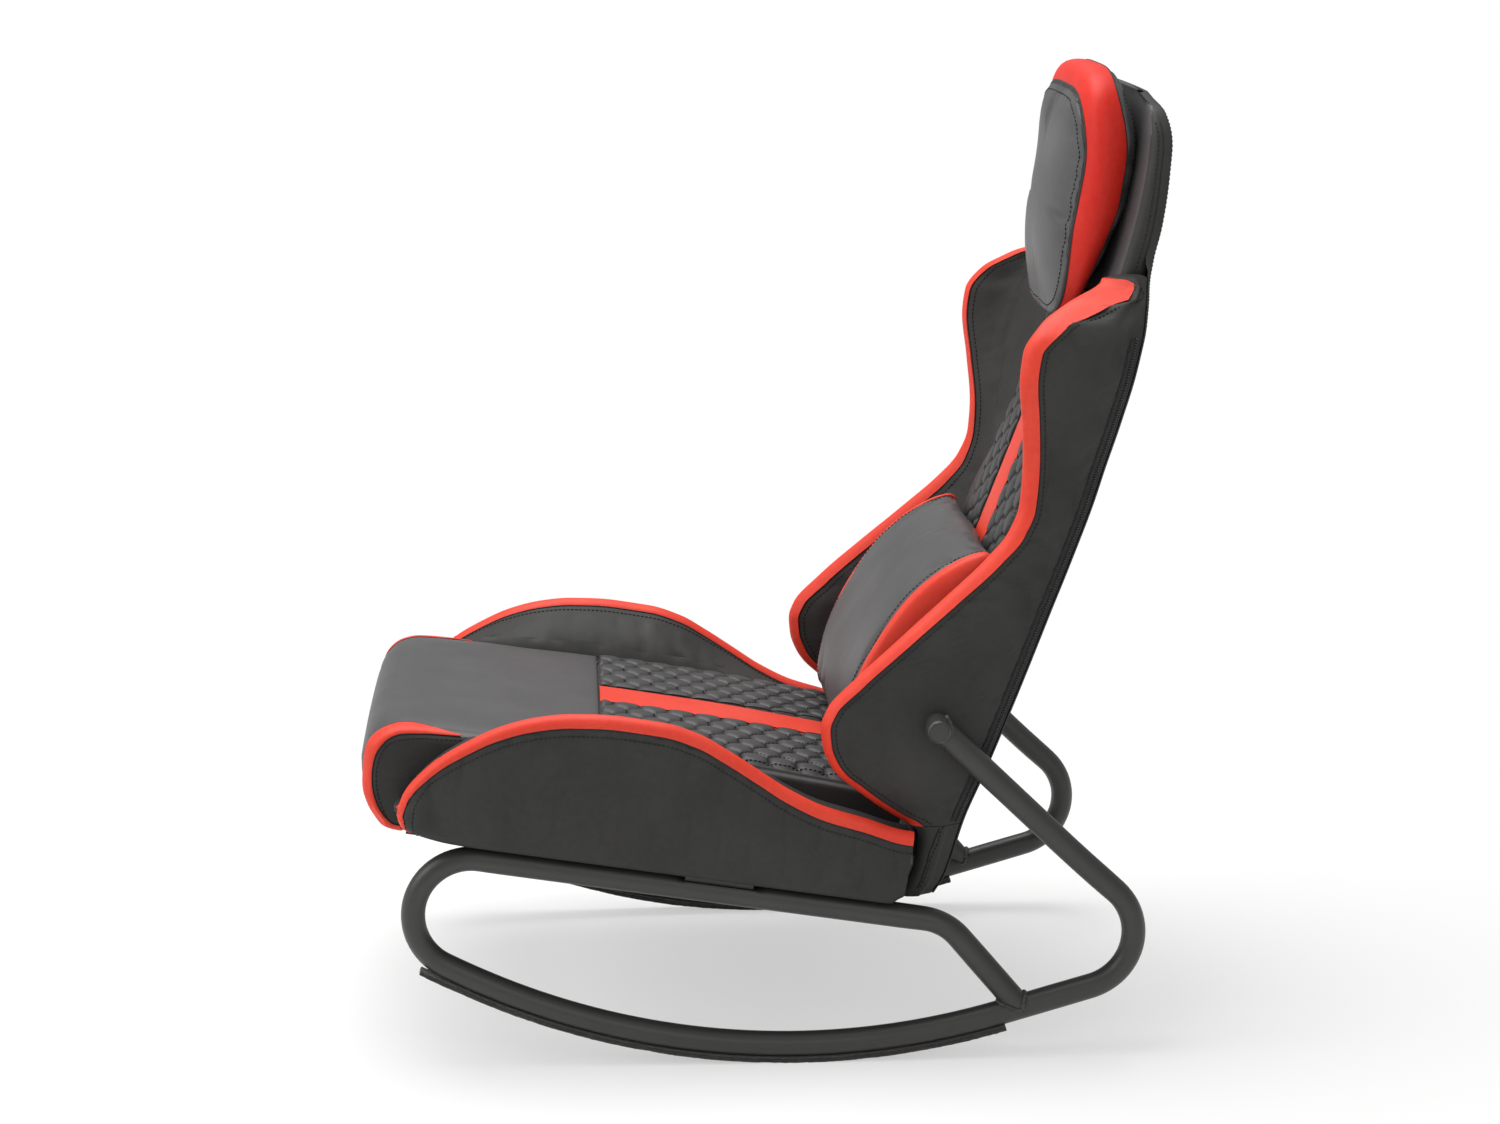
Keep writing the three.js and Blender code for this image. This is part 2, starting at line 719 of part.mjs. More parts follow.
function frontCrossBar() {
  const half = frameSpacing / 2 - tubeRadius - seatedGap;
  return crossTube(barDiameter, half, [seatFront + barInset, railTop - barDiameter / 2]);
}

// Back
// Its outlines are level, and its forms are written as shares of its height and depth.
const backHeight = backTop - backBottom;
const padEdgeDrop = 10;
const padEdgeRound = 14;
const padLip = 16;
const backQuiltColumns = 8;
const backQuiltBottom = 452;
const backQuiltSteps = 22;
const backQuiltStep = quiltPitch / 2 * Math.cos(backLean);
const backTubeDiameter = 14;
const strapThickness = 1.5;
const cavityDepth = coverThickness + backTubeDiameter + strapThickness + 3 * softGap;
const backCavity = cavityDepth / Math.cos(backLean);
const wingTaper = 12;
const zipWidth = 14;
const zipThickness = 1.5;
const headJoinShare = 0.85;

const padFrontShares = [
  [0, 0.318], [0.114, 0.321], [0.165, 0.356], [0.392, 0.542], [0.558, 0.677], [0.685, 0.779],
  [0.812, 0.865], [0.876, 0.898], [0.939, 0.919], [0.977, 0.933], [1, 0.949],
];
const backRearShares = [
  [0, 0.394], [0.114, 0.475], [0.305, 0.63], [0.508, 0.803], [0.629, 0.873],
  [0.754, 0.935], [0.84, 0.985], [0.938, 1.011], [0.98, 1.003], [1, 0.982],
];
const rearCrownShares = [[0, 0], [0.114, 1], [0.9, 1], [1, 0.4]];
const padWidthShares = [
  [0, 1], [0.431, 1], [0.508, 0.826], [0.571, 0.767], [0.685, 0.767], [0.73, 0.802],
  [0.782, 0.959], [0.888, 0.965], [0.945, 0.93], [0.98, 0.826], [1, 0.651],
];
const wingFrontShares = [
  [0, 0.307], [0.057, 0.303], [0.114, 0.302], [0.137, 0.205], [0.165, 0.119], [0.193, 0.067],
  [0.222, 0.054], [0.254, 0.075], [0.288, 0.14], [0.345, 0.275], [0.391, 0.388], [0.437, 0.496],
  [0.47, 0.555], [0.504, 0.582], [0.549, 0.588], [0.607, 0.58], [0.662, 0.569], [0.697, 0.577],
  [0.73, 0.625], [0.753, 0.701], [0.777, 0.8],
];
const wingEdgeShares = [
  [0, 0.869], [0.114, 0.941], [0.178, 0.992], [0.228, 1], [0.305, 0.992], [0.393, 0.941], [0.47, 0.903],
  [0.533, 0.898], [0.609, 0.958], [0.673, 1], [0.711, 0.992], [0.749, 0.898], [0.782, 0.763],
];
const lowerLevelShares = [0, 0.057, 0.114, 0.193, 0.298];
const upperLevelShares = [0.759, 0.777, 0.8, headJoinShare, 0.9, 0.938, 0.965, 0.985, 1];
const wingLevelShares = [0.14, 0.165, 0.222, 0.254];

const backPlace = (share) => backBottom + share * backHeight;
const quiltLevel = (step) => backQuiltBottom + step * backQuiltStep;
const lowerLevels = lowerLevelShares.map(backPlace);
const upperLevels = upperLevelShares.map(backPlace);
const quiltLevels = Array.from({ length: backQuiltSteps + 1 }, (unused, step) => quiltLevel(step));
const backLevels = [...lowerLevels, ...quiltLevels.filter((level, step) => step % 3 === 0), ...upperLevels];
const wingLevels = [...backLevels, ...wingLevelShares.map(backPlace)].sort((a, b) => a - b);
const [backFoot, cornerTop] = [backLevels[1], backLevels[2]];
const wingTop = upperLevels[1];

// A table's curve, straight between common levels so that neighbours never cross
function betweenLevels(table, levels) {
  const curve = smooth(table);
  const values = levels.map((level) => curve((level - backBottom) / backHeight));
  return (height) => {
    const i = Math.max(levels.findIndex((level) => level >= height), 1);
    const share = (height - levels[i - 1]) / (levels[i] - levels[i - 1]);
    return values[i - 1] + (values[i] - values[i - 1]) * share;
  };
}

const padFrontShare = betweenLevels(padFrontShares, backLevels);
const backRearShare = betweenLevels(backRearShares, backLevels);
const rearCrownShare = betweenLevels(rearCrownShares, backLevels);
const padWidthShare = betweenLevels(padWidthShares, backLevels);
const wingFrontShare = betweenLevels(wingFrontShares, wingLevels);
const wingEdgeShare = betweenLevels(wingEdgeShares, wingLevels);
const padFront = (height) => backDepth * padFrontShare(height);
const crownAt = (height) => rearCrown * rearCrownShare(height);
const rearEdge = (height) => backDepth * backRearShare(height) - crownAt(height);
const coverInside = (height) => rearEdge(height) - coverThickness - seatedGap;
const padHalf = (height) => padWidth / 2 * padWidthShare(height);
const wingEdge = (height) => wingSpacing / 2 * wingEdgeShare(height);
const wingFront = (height) => backDepth * wingFrontShare(height);

// Those of the given levels that a piece needs between its own two ends
function levelsBetween(low, high, levels = backLevels) {
  return [low, ...levels.filter((level) => level > low + softGap && level < high - softGap), high];
}

// Turns a piece from upright, at the back's rear face by the sleeves, into the back's lean
function onBack(geometry) {
  geometry.rotateX(-backLean);
  geometry.translate(0, rearEdge(sleeveHeight), sleeveHeight);
  return geometry;
}

function padEdge(height) {
  return Math.min(padEdgeDrop, (coverInside(height) - padFront(height)) * 0.4);
}

function padOutline(height) {
  const half = padHalf(height);
  const front = padFront(height);
  const edge = padEdge(height);
  const rear = coverInside(height) - softGap;
  const closed = height > backPlace(headJoinShare);
  const floor = closed ? rear - softGap : rearEdge(height) - backCavity;
  const quilted = height > quiltLevels[0] && height < quiltLevels[backQuiltSteps];
  const quiltEdge = stripeWidth / 2 + backQuiltColumns * quiltRow / 2;
  const fit = Math.min(1, (half - padEdgeRound / 2) / quiltEdge);
  const rightSide = [
    [half - padLip, floor],
    [half - padLip, rear],
    [half, rear],
    [half, front + edge],
    [half - padEdgeRound / 4, front + edge * 0.6],
  ];
  const frontPoints = quiltColumns(backQuiltColumns).map((across) => {
    const along = (height - backQuiltBottom) / Math.cos(backLean);
    const rise = quilted ? quiltRise(across, along) : 0;
    return [across * fit, front + edge * 0.4 * (across * fit / half) ** 2 - rise];
  });
  return [...rightSide, ...frontPoints, ...mirrored(rightSide)]
    .map(([across, depth]) => new THREE.Vector3(across, depth, height));
}

// The pad is hollow behind, for the steel frame, up to its closed top
function backPad() {
  const join = backPlace(headJoinShare);
  const lower = levelsBetween(backBottom, quiltLevels[0]);
  const joined = [...upperLevels, join + softGap].sort((a, b) => a - b);
  const upper = levelsBetween(quiltLevels[backQuiltSteps], backTop, joined);
  const whole = loft([...lower, ...quiltLevels.slice(1, -1), ...upper].map(padOutline));
  return cut(whole, flangeRoom(1), flangeRoom(-1));
}

function backStripe() {
  const half = stripeWidth / 2 - softGap;
  const outline = (height) => {
    const edgeShare = stripeWidth / 2 / padHalf(height);
    const low = padFront(height) + padEdge(height) * 0.4 * edgeShare ** 2 - 2 * seatedGap;
    return [[half, low], [half, low - stripeThickness], [-half, low - stripeThickness], [-half, low]]
      .map(([across, depth]) => new THREE.Vector3(across, depth, height));
  };
  return loft(levelsBetween(quiltLevels[0], quiltLevels[backQuiltSteps]).map(outline));
}

// The line round a wing's front edge that its red band follows, from inside to outside
function wingLine(height) {
  const front = wingFront(height) + bandThickness + seatedGap;
  const edge = wingEdge(height);
  const round = Math.min(crestRound, (coverInside(height) - front) * 0.4);
  return [
    [edge - wingShoulder * 0.7, front + round],
    [edge - wingShoulder * 0.3, front + round / 3],
    [edge + wingShoulder * 0.15, front],
    [edge + wingShoulder * 0.65, front + round / 3],
    [edge + wingShoulder, front + round],
  ];
}

function wingBody(low, high, side) {
  const outline = (height) => {
    const line = wingLine(height);
    const base = padHalf(height) + 2 * softGap;
    const [inner, shoulder] = line[0];
    const outer = line[4][0];
    const rear = coverInside(height);
    const seam = Math.max(padFront(height) + padEdgeDrop, shoulder + softGap);
    return [
      [base, rear],
      [base, seam],
      [base + (inner - base) * 0.4, seam - (seam - shoulder) * 0.15],
      [base + (inner - base) * 0.8, seam - (seam - shoulder) * 0.6],
      ...line,
      [outer, (line[4][1] + rear) / 2],
      [outer - wingTaper / 3, rear - zipWidth],
      [outer - wingTaper, rear],
    ].map(([across, depth]) => new THREE.Vector3(side * across, depth, height));
  };
  return loft(levelsBetween(low, high, wingLevels).map(outline));
}

function backWing(side) {
  const whole = wingBody(cornerTop + seatedGap, wingTop, side);
  return cut(whole, flangeRoom(side), plateRoom(side), sleeveRoom(side));
}

function wingBand(side) {
  const levels = levelsBetween(cornerTop + seatedGap, wingTop, wingLevels);
  return loft(levels.map((height) => stripOver(wingLine(height), bandThickness)
    .map(([across, depth]) => new THREE.Vector3(side * across, depth, height))));
}

// Zip strip down the slanted facet between a wing's side and its rear
function backZip(side) {
  const outline = (height) => {
    const outer = wingEdge(height) + wingShoulder;
    const rear = coverInside(height);
    const facet = [[outer - wingTaper / 3, rear - zipWidth], [outer - wingTaper, rear]];
    return stripOver(facet, zipThickness)
      .map(([across, depth]) => new THREE.Vector3(side * across, depth, height));
  };
  return loft(levelsBetween(backFoot, wingTop - softGap, wingLevels).map(outline));
}

// Rear cover: a thin panel that bulges to the rear
const rearColumnShares = [-1, -0.6, -0.2, 0.2, 0.6, 1];

function rearPanel() {
  const outline = (height) => {
    const wing = height < wingTop + softGap ? wingEdge(height) + wingShoulder - wingTaper : 0;
    const half = Math.max(wing, padHalf(height)) - softGap;
    const surface = (share, depth) => new THREE.Vector3(
      share * half, rearEdge(height) + crownAt(height) * (1 - share ** 2) - depth, height);
    return [
      ...rearColumnShares.map((share) => surface(share, 0)),
      ...rearColumnShares.slice().reverse().map((share) => surface(share, coverThickness)),
    ];
  };
  return loft(levelsBetween(backBottom, backTop, wingLevels).map(outline));
}

// Steel frame in the back: a bent tube, a cross tube and four straps in front of them
const backTubeSide = 107;
const backBendRadius = 40;
const backTubeTop = 820;
const backTubeFoot = 176;
const crossTubeHeight = 262;
const strapWidth = 40;
const strapHeights = [300, 370, 440, 510];
const backTubeRadius = backTubeDiameter / 2;
const tubeInset = (coverThickness + 2 * seatedGap + backTubeRadius) / Math.cos(backLean);
const tubeDepth = (height) => rearEdge(height) - tubeInset;

function backTubePath() {
  const left = levelsBetween(backTubeFoot, backTubeTop - backBendRadius - softGap)
    .map((height) => [backTubeSide, height]);
  const bendSteps = 5;
  for (let i = 0; i <= bendSteps; i++) {
    const angle = i / bendSteps * Math.PI / 2;
    left.push([
      backTubeSide - backBendRadius * (1 - Math.cos(angle)),
      backTubeTop - backBendRadius * (1 - Math.sin(angle)),
    ]);
  }
  const places = [...left, ...mirrored(left)]
    .map(([across, height]) => new THREE.Vector3(across, tubeDepth(height), height));
  const path = new StationPath();
  places.forEach((point, i) => {
    const before = places[Math.max(i - 1, 0)];
    const after = places[Math.min(i + 1, places.length - 1)];
    const arriving = point.clone().sub(before).normalize();
    path.add(point, after.clone().sub(point).normalize().add(arriving));
  });
  return path;
}

function backFrame() {
  const path = backTubePath();
  return cut(path.sweep(backTubeRadius, 8), path.sweep(backTubeRadius - tubeWall, 6));
}

function backCrossTube() {
  const half = backTubeSide - backTubeRadius - seatedGap;
  return crossTube(backTubeDiameter, half, [tubeDepth(crossTubeHeight), crossTubeHeight]);
}

function backStrap(height) {
  const half = backTubeSide + backTubeRadius;
  const strap = block(
    new THREE.Vector3(-half, -strapThickness, -strapWidth / 2),
    new THREE.Vector3(half, 0, strapWidth / 2));
  const lean = Math.atan2(
    tubeDepth(height + strapWidth / 2) - tubeDepth(height - strapWidth / 2), strapWidth);
  strap.rotateX(-lean);
  strap.translate(0, tubeDepth(height) - (backTubeRadius + softGap) / Math.cos(lean), height);
  return strap;
}

// Steel brackets in the wings
// Each has a flange against the frame's upright, a plate that runs forward and a boss at the sleeve.
const bracketThickness = 3;
const bracketSide = 212;
const bracketHalfHeight = 38;
const bracketNose = 17;
const bossDiameter = 20;
const boltEnd = 206;
const boltHead = 13;
const boltHeadHeight = 6;
const sleeveReach = rearEdge(sleeveHeight) - sleeveDepth;
const [noseDepth, noseHeight] = [-sleeveReach * Math.cos(backLean), -sleeveReach * Math.sin(backLean)];
const flangeDepth = -tubeInset * Math.cos(backLean) - bracketThickness / 2;
const flangeInside = backTubeSide + backTubeRadius + seatedGap;
const sleeveAxis = [sleeveDepth, sleeveHeight];

function flangeBlock(side, grow, rear) {
  const [inside, outside] = [flangeInside - grow, bracketSide + bracketThickness + grow];
  return onBack(block(
    new THREE.Vector3(side > 0 ? inside : -outside, flangeDepth - grow, -bracketHalfHeight - grow),
    new THREE.Vector3(side > 0 ? outside : -inside, rear, bracketHalfHeight + grow)));
}

function plateSheet(side, grow, rear) {
  const nose = bracketNose + grow;
  const outline = new THREE.Shape();
  outline.moveTo(rear, noseHeight - nose);
  outline.lineTo(noseDepth, noseHeight - nose);
  outline.absarc(noseDepth, noseHeight, nose, -Math.PI / 2, Math.PI / 2, true);
  outline.lineTo(flangeDepth, bracketHalfHeight + grow);
  outline.lineTo(rear, bracketHalfHeight + grow);
  outline.closePath();
  return onBack(sheetAcross(side, outline, bracketSide - grow, bracketSide + bracketThickness + grow));
}

function flangeRoom(side) {
  return flangeBlock(side, softGap, overrun);
}

function plateRoom(side) {
  return plateSheet(side, softGap, overrun);
}

// Room in a wing for the bolt, the boss, the sleeve and the grommet round it
function sleeveRoom(side) {
  const radius = sleeveDiameter / 2 + grommetWall + 2 * seatedGap;
  const boltRoom = boltDiameter / 2 + softGap;
  const face = grommetFace - seatedGap;
  return turnedAcross(side, [
    [0, boltEnd], [boltRoom, boltEnd], [boltRoom, bracketSide], [radius, bracketSide],
    [radius, face], [radius + grommetFlange, face],
    [radius + grommetFlange, sleeveOuterEnd], [0, sleeveOuterEnd],
  ], 16, sleeveAxis);
}

function sideBracket(side) {
  const boss = turnedAcross(side, [
    [0, bracketSide], [bossDiameter / 2, bracketSide],
    [bossDiameter / 2, sleeveInnerEnd - seatedGap], [0, sleeveInnerEnd - seatedGap],
  ], 16, sleeveAxis);
  const bore = turnedAcross(side, [
    [0, boltEnd], [boltDiameter / 2 + seatedGap, boltEnd],
    [boltDiameter / 2 + seatedGap, sleeveInnerEnd], [0, sleeveInnerEnd],
  ], 12, sleeveAxis);
  const flange = toSolid(flangeBlock(side, 0, flangeDepth + bracketThickness));
  const solid = flange.add(toSolid(plateSheet(side, 0, flangeDepth + bracketThickness))).add(toSolid(boss));
  return toGeometry(solid.subtract(toSolid(bore)));
}

function backBolt(side) {
  const seat = sleeveInnerEnd + sleeveShoulder + seatedGap;
  return turnedAcross(side, [
    [0, boltEnd + seatedGap], [boltDiameter / 2, boltEnd + seatedGap], [boltDiameter / 2, seat],
    [boltHead / 2, seat], [boltHead / 2, seat + boltHeadHeight], [0, seat + boltHeadHeight],
  ], 12, sleeveAxis);
}

// Plastic cap in the sleeve's outer end and ring where the sleeve leaves the wing
const capThickness = 3;
const capSpigot = 9;
const grommetWall = 1.2;
const grommetFlange = 2.6;
const grommetFace = 246.8;

function sleeveCap(side) {
  const spigot = sleeveBore / 2 - seatedGap;
  const face = sleeveOuterEnd + seatedGap;
  return turnedAcross(side, [
    [0, face - capSpigot], [spigot, face - capSpigot], [spigot, face],
    [sleeveDiameter / 2, face], [sleeveDiameter / 2, face + capThickness], [0, face + capThickness],
  ], 16, sleeveAxis);
}

function coverGrommet(side) {
  const inner = sleeveDiameter / 2 + seatedGap;
  const end = grommetFace + grommetFlange;
  return turnedAcross(side, [
    [inner, grommetFace - capSpigot], [inner + grommetWall, grommetFace - capSpigot],
    [inner + grommetWall, grommetFace], [inner + grommetFlange, grommetFace],
    [inner + grommetFlange, end], [inner, end], [inner, grommetFace - capSpigot],
  ], 16, sleeveAxis);
}

// Foot brackets: each joins the seat board's underside to an upright of the back's frame
const footThickness = 4;
const footArmFront = -30;
const footArmDepth = 22;
const footLegTop = 240;

function footBracket(side) {
  const top = boardBottom - seatedGap;
  const seatPoint = (place, height) => [
    place * Math.cos(railTilt) + height * Math.sin(railTilt),
    railHeight - place * Math.sin(railTilt) + height * Math.cos(railTilt),
  ];
  const front = (height) => rearEdge(height) - backCavity + softGap;
  const rear = (height) => coverInside(height) - softGap;
  const slope = Math.tan(railTilt);
  const armTop = (depth) => seatPoint(0, top)[1] - (depth - seatPoint(0, top)[0]) * slope;
  const heel = armTop(front(backBottom));
  const outline = new THREE.Shape([
    seatPoint(footArmFront, top), [front(backBottom), heel], [front(backFoot), backFoot],
    [front(footLegTop), footLegTop], [rear(footLegTop), footLegTop], [rear(backFoot), backFoot],
    [rear(backBottom), backBottom], [rear(backBottom), heel - footArmDepth],
    seatPoint(footArmFront, top - footArmDepth),
  ].map(([depth, height]) => new THREE.Vector2(depth, height)));
  const inside = backTubeSide + backTubeRadius + seatedGap;
  return sheetAcross(side, outline, inside, inside + footThickness);
}

// Head pillow
// Its loops run round the pillow: a squared oval that bulges forward, with a red gusset round it.
const headPoints = 24;
const headRoundness = 0.46;
const headFrontHalf = [118, 130];
const headFrontSpan = [722, 946];
const headRearHalf = [120, 136];
const headRearRise = [16, 24];
const headRearSpan = headRearRise.map((rise, i) => headFrontSpan[i] + rise);
const headFrontShares = [[0, 0.717], [0.1, 0.728], [0.415, 0.744], [0.75, 0.776], [1, 0.768]];
const headRearShares = [[0, 0.762], [0.12, 0.798], [0.317, 0.846], [0.463, 0.876], [0.67, 0.887], [1, 0.857]];
const headBulge = 24;
const headRearBulge = 7;
const gussetBulge = 12;
const gussetThickness = 2;
const gussetShares = [0.05, 0.27, 0.5, 0.73, 0.95];
const frontLoopShares = [0.3, 0.6, 0.84, 0.96, 1];
const patchThickness = 1.5;
const headPatchRise = [52, 82];
const headPatchSpan = headPatchRise.map((rise) => headRearSpan[0] + rise);
const patchHalf = 40;

// Loop of a pillow face, scaled about its own centre, with the bulge that the scale leaves
function headLoop(scale, [low, high], [lowHalf, highHalf], curve, bulge) {
  const points = [];
  for (let i = 0; i < headPoints; i++) {
    const angle = (i + 0.5) / headPoints * 2 * Math.PI;
    const [c, s] = [Math.cos(angle), Math.sin(angle)];
    const up = Math.sign(s) * Math.abs(s) ** headRoundness * scale;
    const share = (1 + up) / 2;
    const half = lowHalf + (highHalf - lowHalf) * share;
    const across = half * Math.sign(c) * Math.abs(c) ** headRoundness * scale;
    const depth = backDepth * curve(share) + bulge * (1 - scale ** 2);
    points.push(new THREE.Vector3(across, depth, low + (high - low) * share));
  }
  return points;
}

const headFrontCurve = smooth(headFrontShares);
const headRearCurve = smooth(headRearShares);
const headFrontLoop = (scale) => headLoop(scale, headFrontSpan, headFrontHalf, headFrontCurve, -headBulge);
const headRearLoop = (scale) => headLoop(scale, headRearSpan, headRearHalf, headRearCurve, headRearBulge);

// Loop on the gusset, a share of the way from the front seam to the rear seam, moved out by a distance
function gussetLoop(share, distance) {
  const [front, rear] = [headFrontLoop(1), headRearLoop(1)];
  const centre = new THREE.Vector3();
  const loop = front.map((point, i) => point.clone().lerp(rear[i], share));
  for (const point of loop) centre.addScaledVector(point, 1 / loop.length);
  return loop.map((point, i) => {
    const rearward = rear[i].clone().sub(front[i]).normalize();
    const outward = point.clone().sub(centre);
    outward.addScaledVector(rearward, -outward.dot(rearward)).normalize();
    return point.clone().addScaledVector(outward, distance + gussetBulge * Math.sin(share * Math.PI));
  });
}

function headPillow() {
  const recess = -gussetThickness - 2 * softGap;
  return loft([
    ...frontLoopShares.map(headFrontLoop),
    gussetLoop(gussetShares[0] / 3, recess),
    ...gussetShares.slice(1, -1).map((share) => gussetLoop(share, recess)),
    gussetLoop(1 - gussetShares[0] / 3, recess),
    ...frontLoopShares.slice().reverse().map(headRearLoop),
  ]);
}

function headGusset() {
  const outer = gussetShares.map((share) => gussetLoop(share, 0));
  const inner = gussetShares.map((share) => gussetLoop(share, -gussetThickness)).reverse();
  const section = [...outer, ...inner];
  return loft(section[0].map((unused, i) => section.map((loop) => loop[i])), true);
}

// Patch of hook-and-loop tape on the pad, behind a pillow
function tapePatch(half, [low, high]) {
  return block(
    new THREE.Vector3(-half, -patchThickness - seatedGap, low),
    new THREE.Vector3(half, -seatedGap, high));
}

function headPatch() {
  const [low, high] = headPatchSpan;
  const rise = padFront(high) - padFront(low);
  const patch = tapePatch(patchHalf, [0, Math.hypot(rise, high - low)]);
  patch.rotateX(-Math.atan2(rise, high - low));
  patch.translate(0, padFront(low), low);
  return patch;
}

// Lumbar pillow
// It keeps one outline across, of [height, depth in front of the pad] up the back's lean.
const lumbarHeight = 312;
const lumbarHalf = 166;
const lumbarTape = 2.4;
const lumbarPatchSpan = [-5, 70];
const lumbarOutline = [
  [-51, 4], [-58, 40], [-60, 62], [-52, 80], [-10, 90], [30, 91], [70, 86],
  [120, 74], [155, 55], [180, 34], [191, 18], [188, 8], [110, 6.5], [85, lumbarTape], [-20, lumbarTape],
];
const lumbarScaleShares = [[-1, 0.9], [-0.93, 0.98], [-0.6, 1], [0, 1.02], [0.6, 1], [0.93, 0.98], [1, 0.9]];
const lumbarPanelShare = 0.82;
const lumbarCentre = [60, 40];

const lumbarPoint = (scale, [up, front]) => [
  front < lumbarTape + softGap ? front : lumbarCentre[1] + (front - lumbarCentre[1]) * scale,
  lumbarCentre[0] + (up - lumbarCentre[0]) * scale,
];

function lumbarPillow() {
  return loft(lumbarScaleShares.map(([share, scale]) => lumbarOutline.map((point) => {
    const [front, up] = lumbarPoint(scale, point);
    return new THREE.Vector3(share * lumbarHalf, -front, up);
  })));
}

function lumbarSide(side) {
  const outline = new THREE.Shape(lumbarOutline.map((point) => {
    const [front, up] = lumbarPoint(lumbarPanelShare, point);
    return new THREE.Vector2(-front, up);
  }));
  const inside = lumbarHalf + seatedGap;
  return sheetAcross(side, outline, inside, inside + bandThickness);
}

const sides = [['left', 1], ['right', -1]];

for (const [name, side] of sides) {
  addMesh(chair, `${name}_side_frame`, sideFrame(side), 'frame');
  addMesh(chair, `${name}_felt_strip`, feltStrip(side), 'felt');
}

const seat = new THREE.Group();
seat.position.z = railHeight;
seat.rotation.x = -railTilt;
chair.add(seat);
addMesh(seat, 'front_cross_bar', frontCrossBar(), 'frame');
addMesh(seat, 'seat_cross_plate', seatCrossPlate(), 'frame');
screwPlaces.forEach((place, i) => addMesh(seat, `seat_screw_${i + 1}`, seatScrew(place), 'steel'));
addMesh(seat, 'seat_board', boardWithHoles(), 'plywood');
addMesh(seat, 'seat_cushion', seatCushion(), 'seatCover');
addMesh(seat, 'seat_stripe', seatStripe(), 'redCover');
for (const [name, side] of sides) {
  addMesh(seat, `${name}_seat_bolster`, seatBolster(side), 'blackCover');
  addMesh(seat, `${name}_seat_band`, seatBand(side), 'redCover');
  addMesh(seat, `${name}_front_trim`, frontTrim(side), 'redCover');
}

addMesh(chair, 'back_frame', backFrame(), 'frame');
addMesh(chair, 'back_cross_tube', backCrossTube(), 'frame');
strapHeights.forEach((height, i) => addMesh(chair, `back_strap_${i + 1}`, backStrap(height), 'fabric'));
addMesh(chair, 'back_pad', backPad(), 'seatCover');
addMesh(chair, 'back_stripe', backStripe(), 'redCover');
addMesh(chair, 'back_rear_panel', rearPanel(), 'blackCover');
for (const [name, side] of sides) {
  addMesh(chair, `${name}_side_bracket`, sideBracket(side), 'frame');
  addMesh(chair, `${name}_foot_bracket`, footBracket(side), 'frame');
  addMesh(chair, `${name}_back_bolt`, backBolt(side), 'steel');
  addMesh(chair, `${name}_sleeve_cap`, sleeveCap(side), 'plastic');
  addMesh(chair, `${name}_cover_grommet`, coverGrommet(side), 'plastic');
  addMesh(chair, `${name}_back_wing`, backWing(side), 'blackCover');
  addMesh(chair, `${name}_wing_band`, wingBand(side), 'redCover');
  addMesh(chair, `${name}_back_corner`, wingBody(backBottom, cornerTop - seatedGap, side), 'blackCover');
  addMesh(chair, `${name}_back_zip`, backZip(side), 'fabric');
}

addMesh(chair, 'head_patch', headPatch(), 'fabric');
addMesh(chair, 'head_pillow', headPillow(), 'seatCover');
addMesh(chair, 'head_pillow_gusset', headGusset(), 'redCover');

const lumbar = new THREE.Group();
lumbar.position.set(0, padFront(lumbarHeight), lumbarHeight);
lumbar.rotation.x = -backLean;
chair.add(lumbar);
addMesh(lumbar, 'lumbar_patch', tapePatch(patchHalf, lumbarPatchSpan), 'fabric');
addMesh(lumbar, 'lumbar_pillow', lumbarPillow(), 'seatCover');
for (const [name, side] of sides) {
  addMesh(lumbar, `${name}_lumbar_side`, lumbarSide(side), 'redCover');
}

const box = new THREE.Box3().setFromObject(chair);
chair.position.y = -(box.min.y + box.max.y) / 2;

export default chair;
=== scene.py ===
# %% [markdown]
# # A gaming rocker chair, piece by piece
# A low racing-style seat and back stand on two bent-tube side frames that roll on the floor.
# The CAD model of the chair is packed and fixed. This script loads it and dresses it: covers with
# quilting and seams, painted tube, felt, stitches and zips, each made the way that suits it best.

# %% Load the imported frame
import math

import bpy
import numpy as np
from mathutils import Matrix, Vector
from mathutils.bvhtree import BVHTree


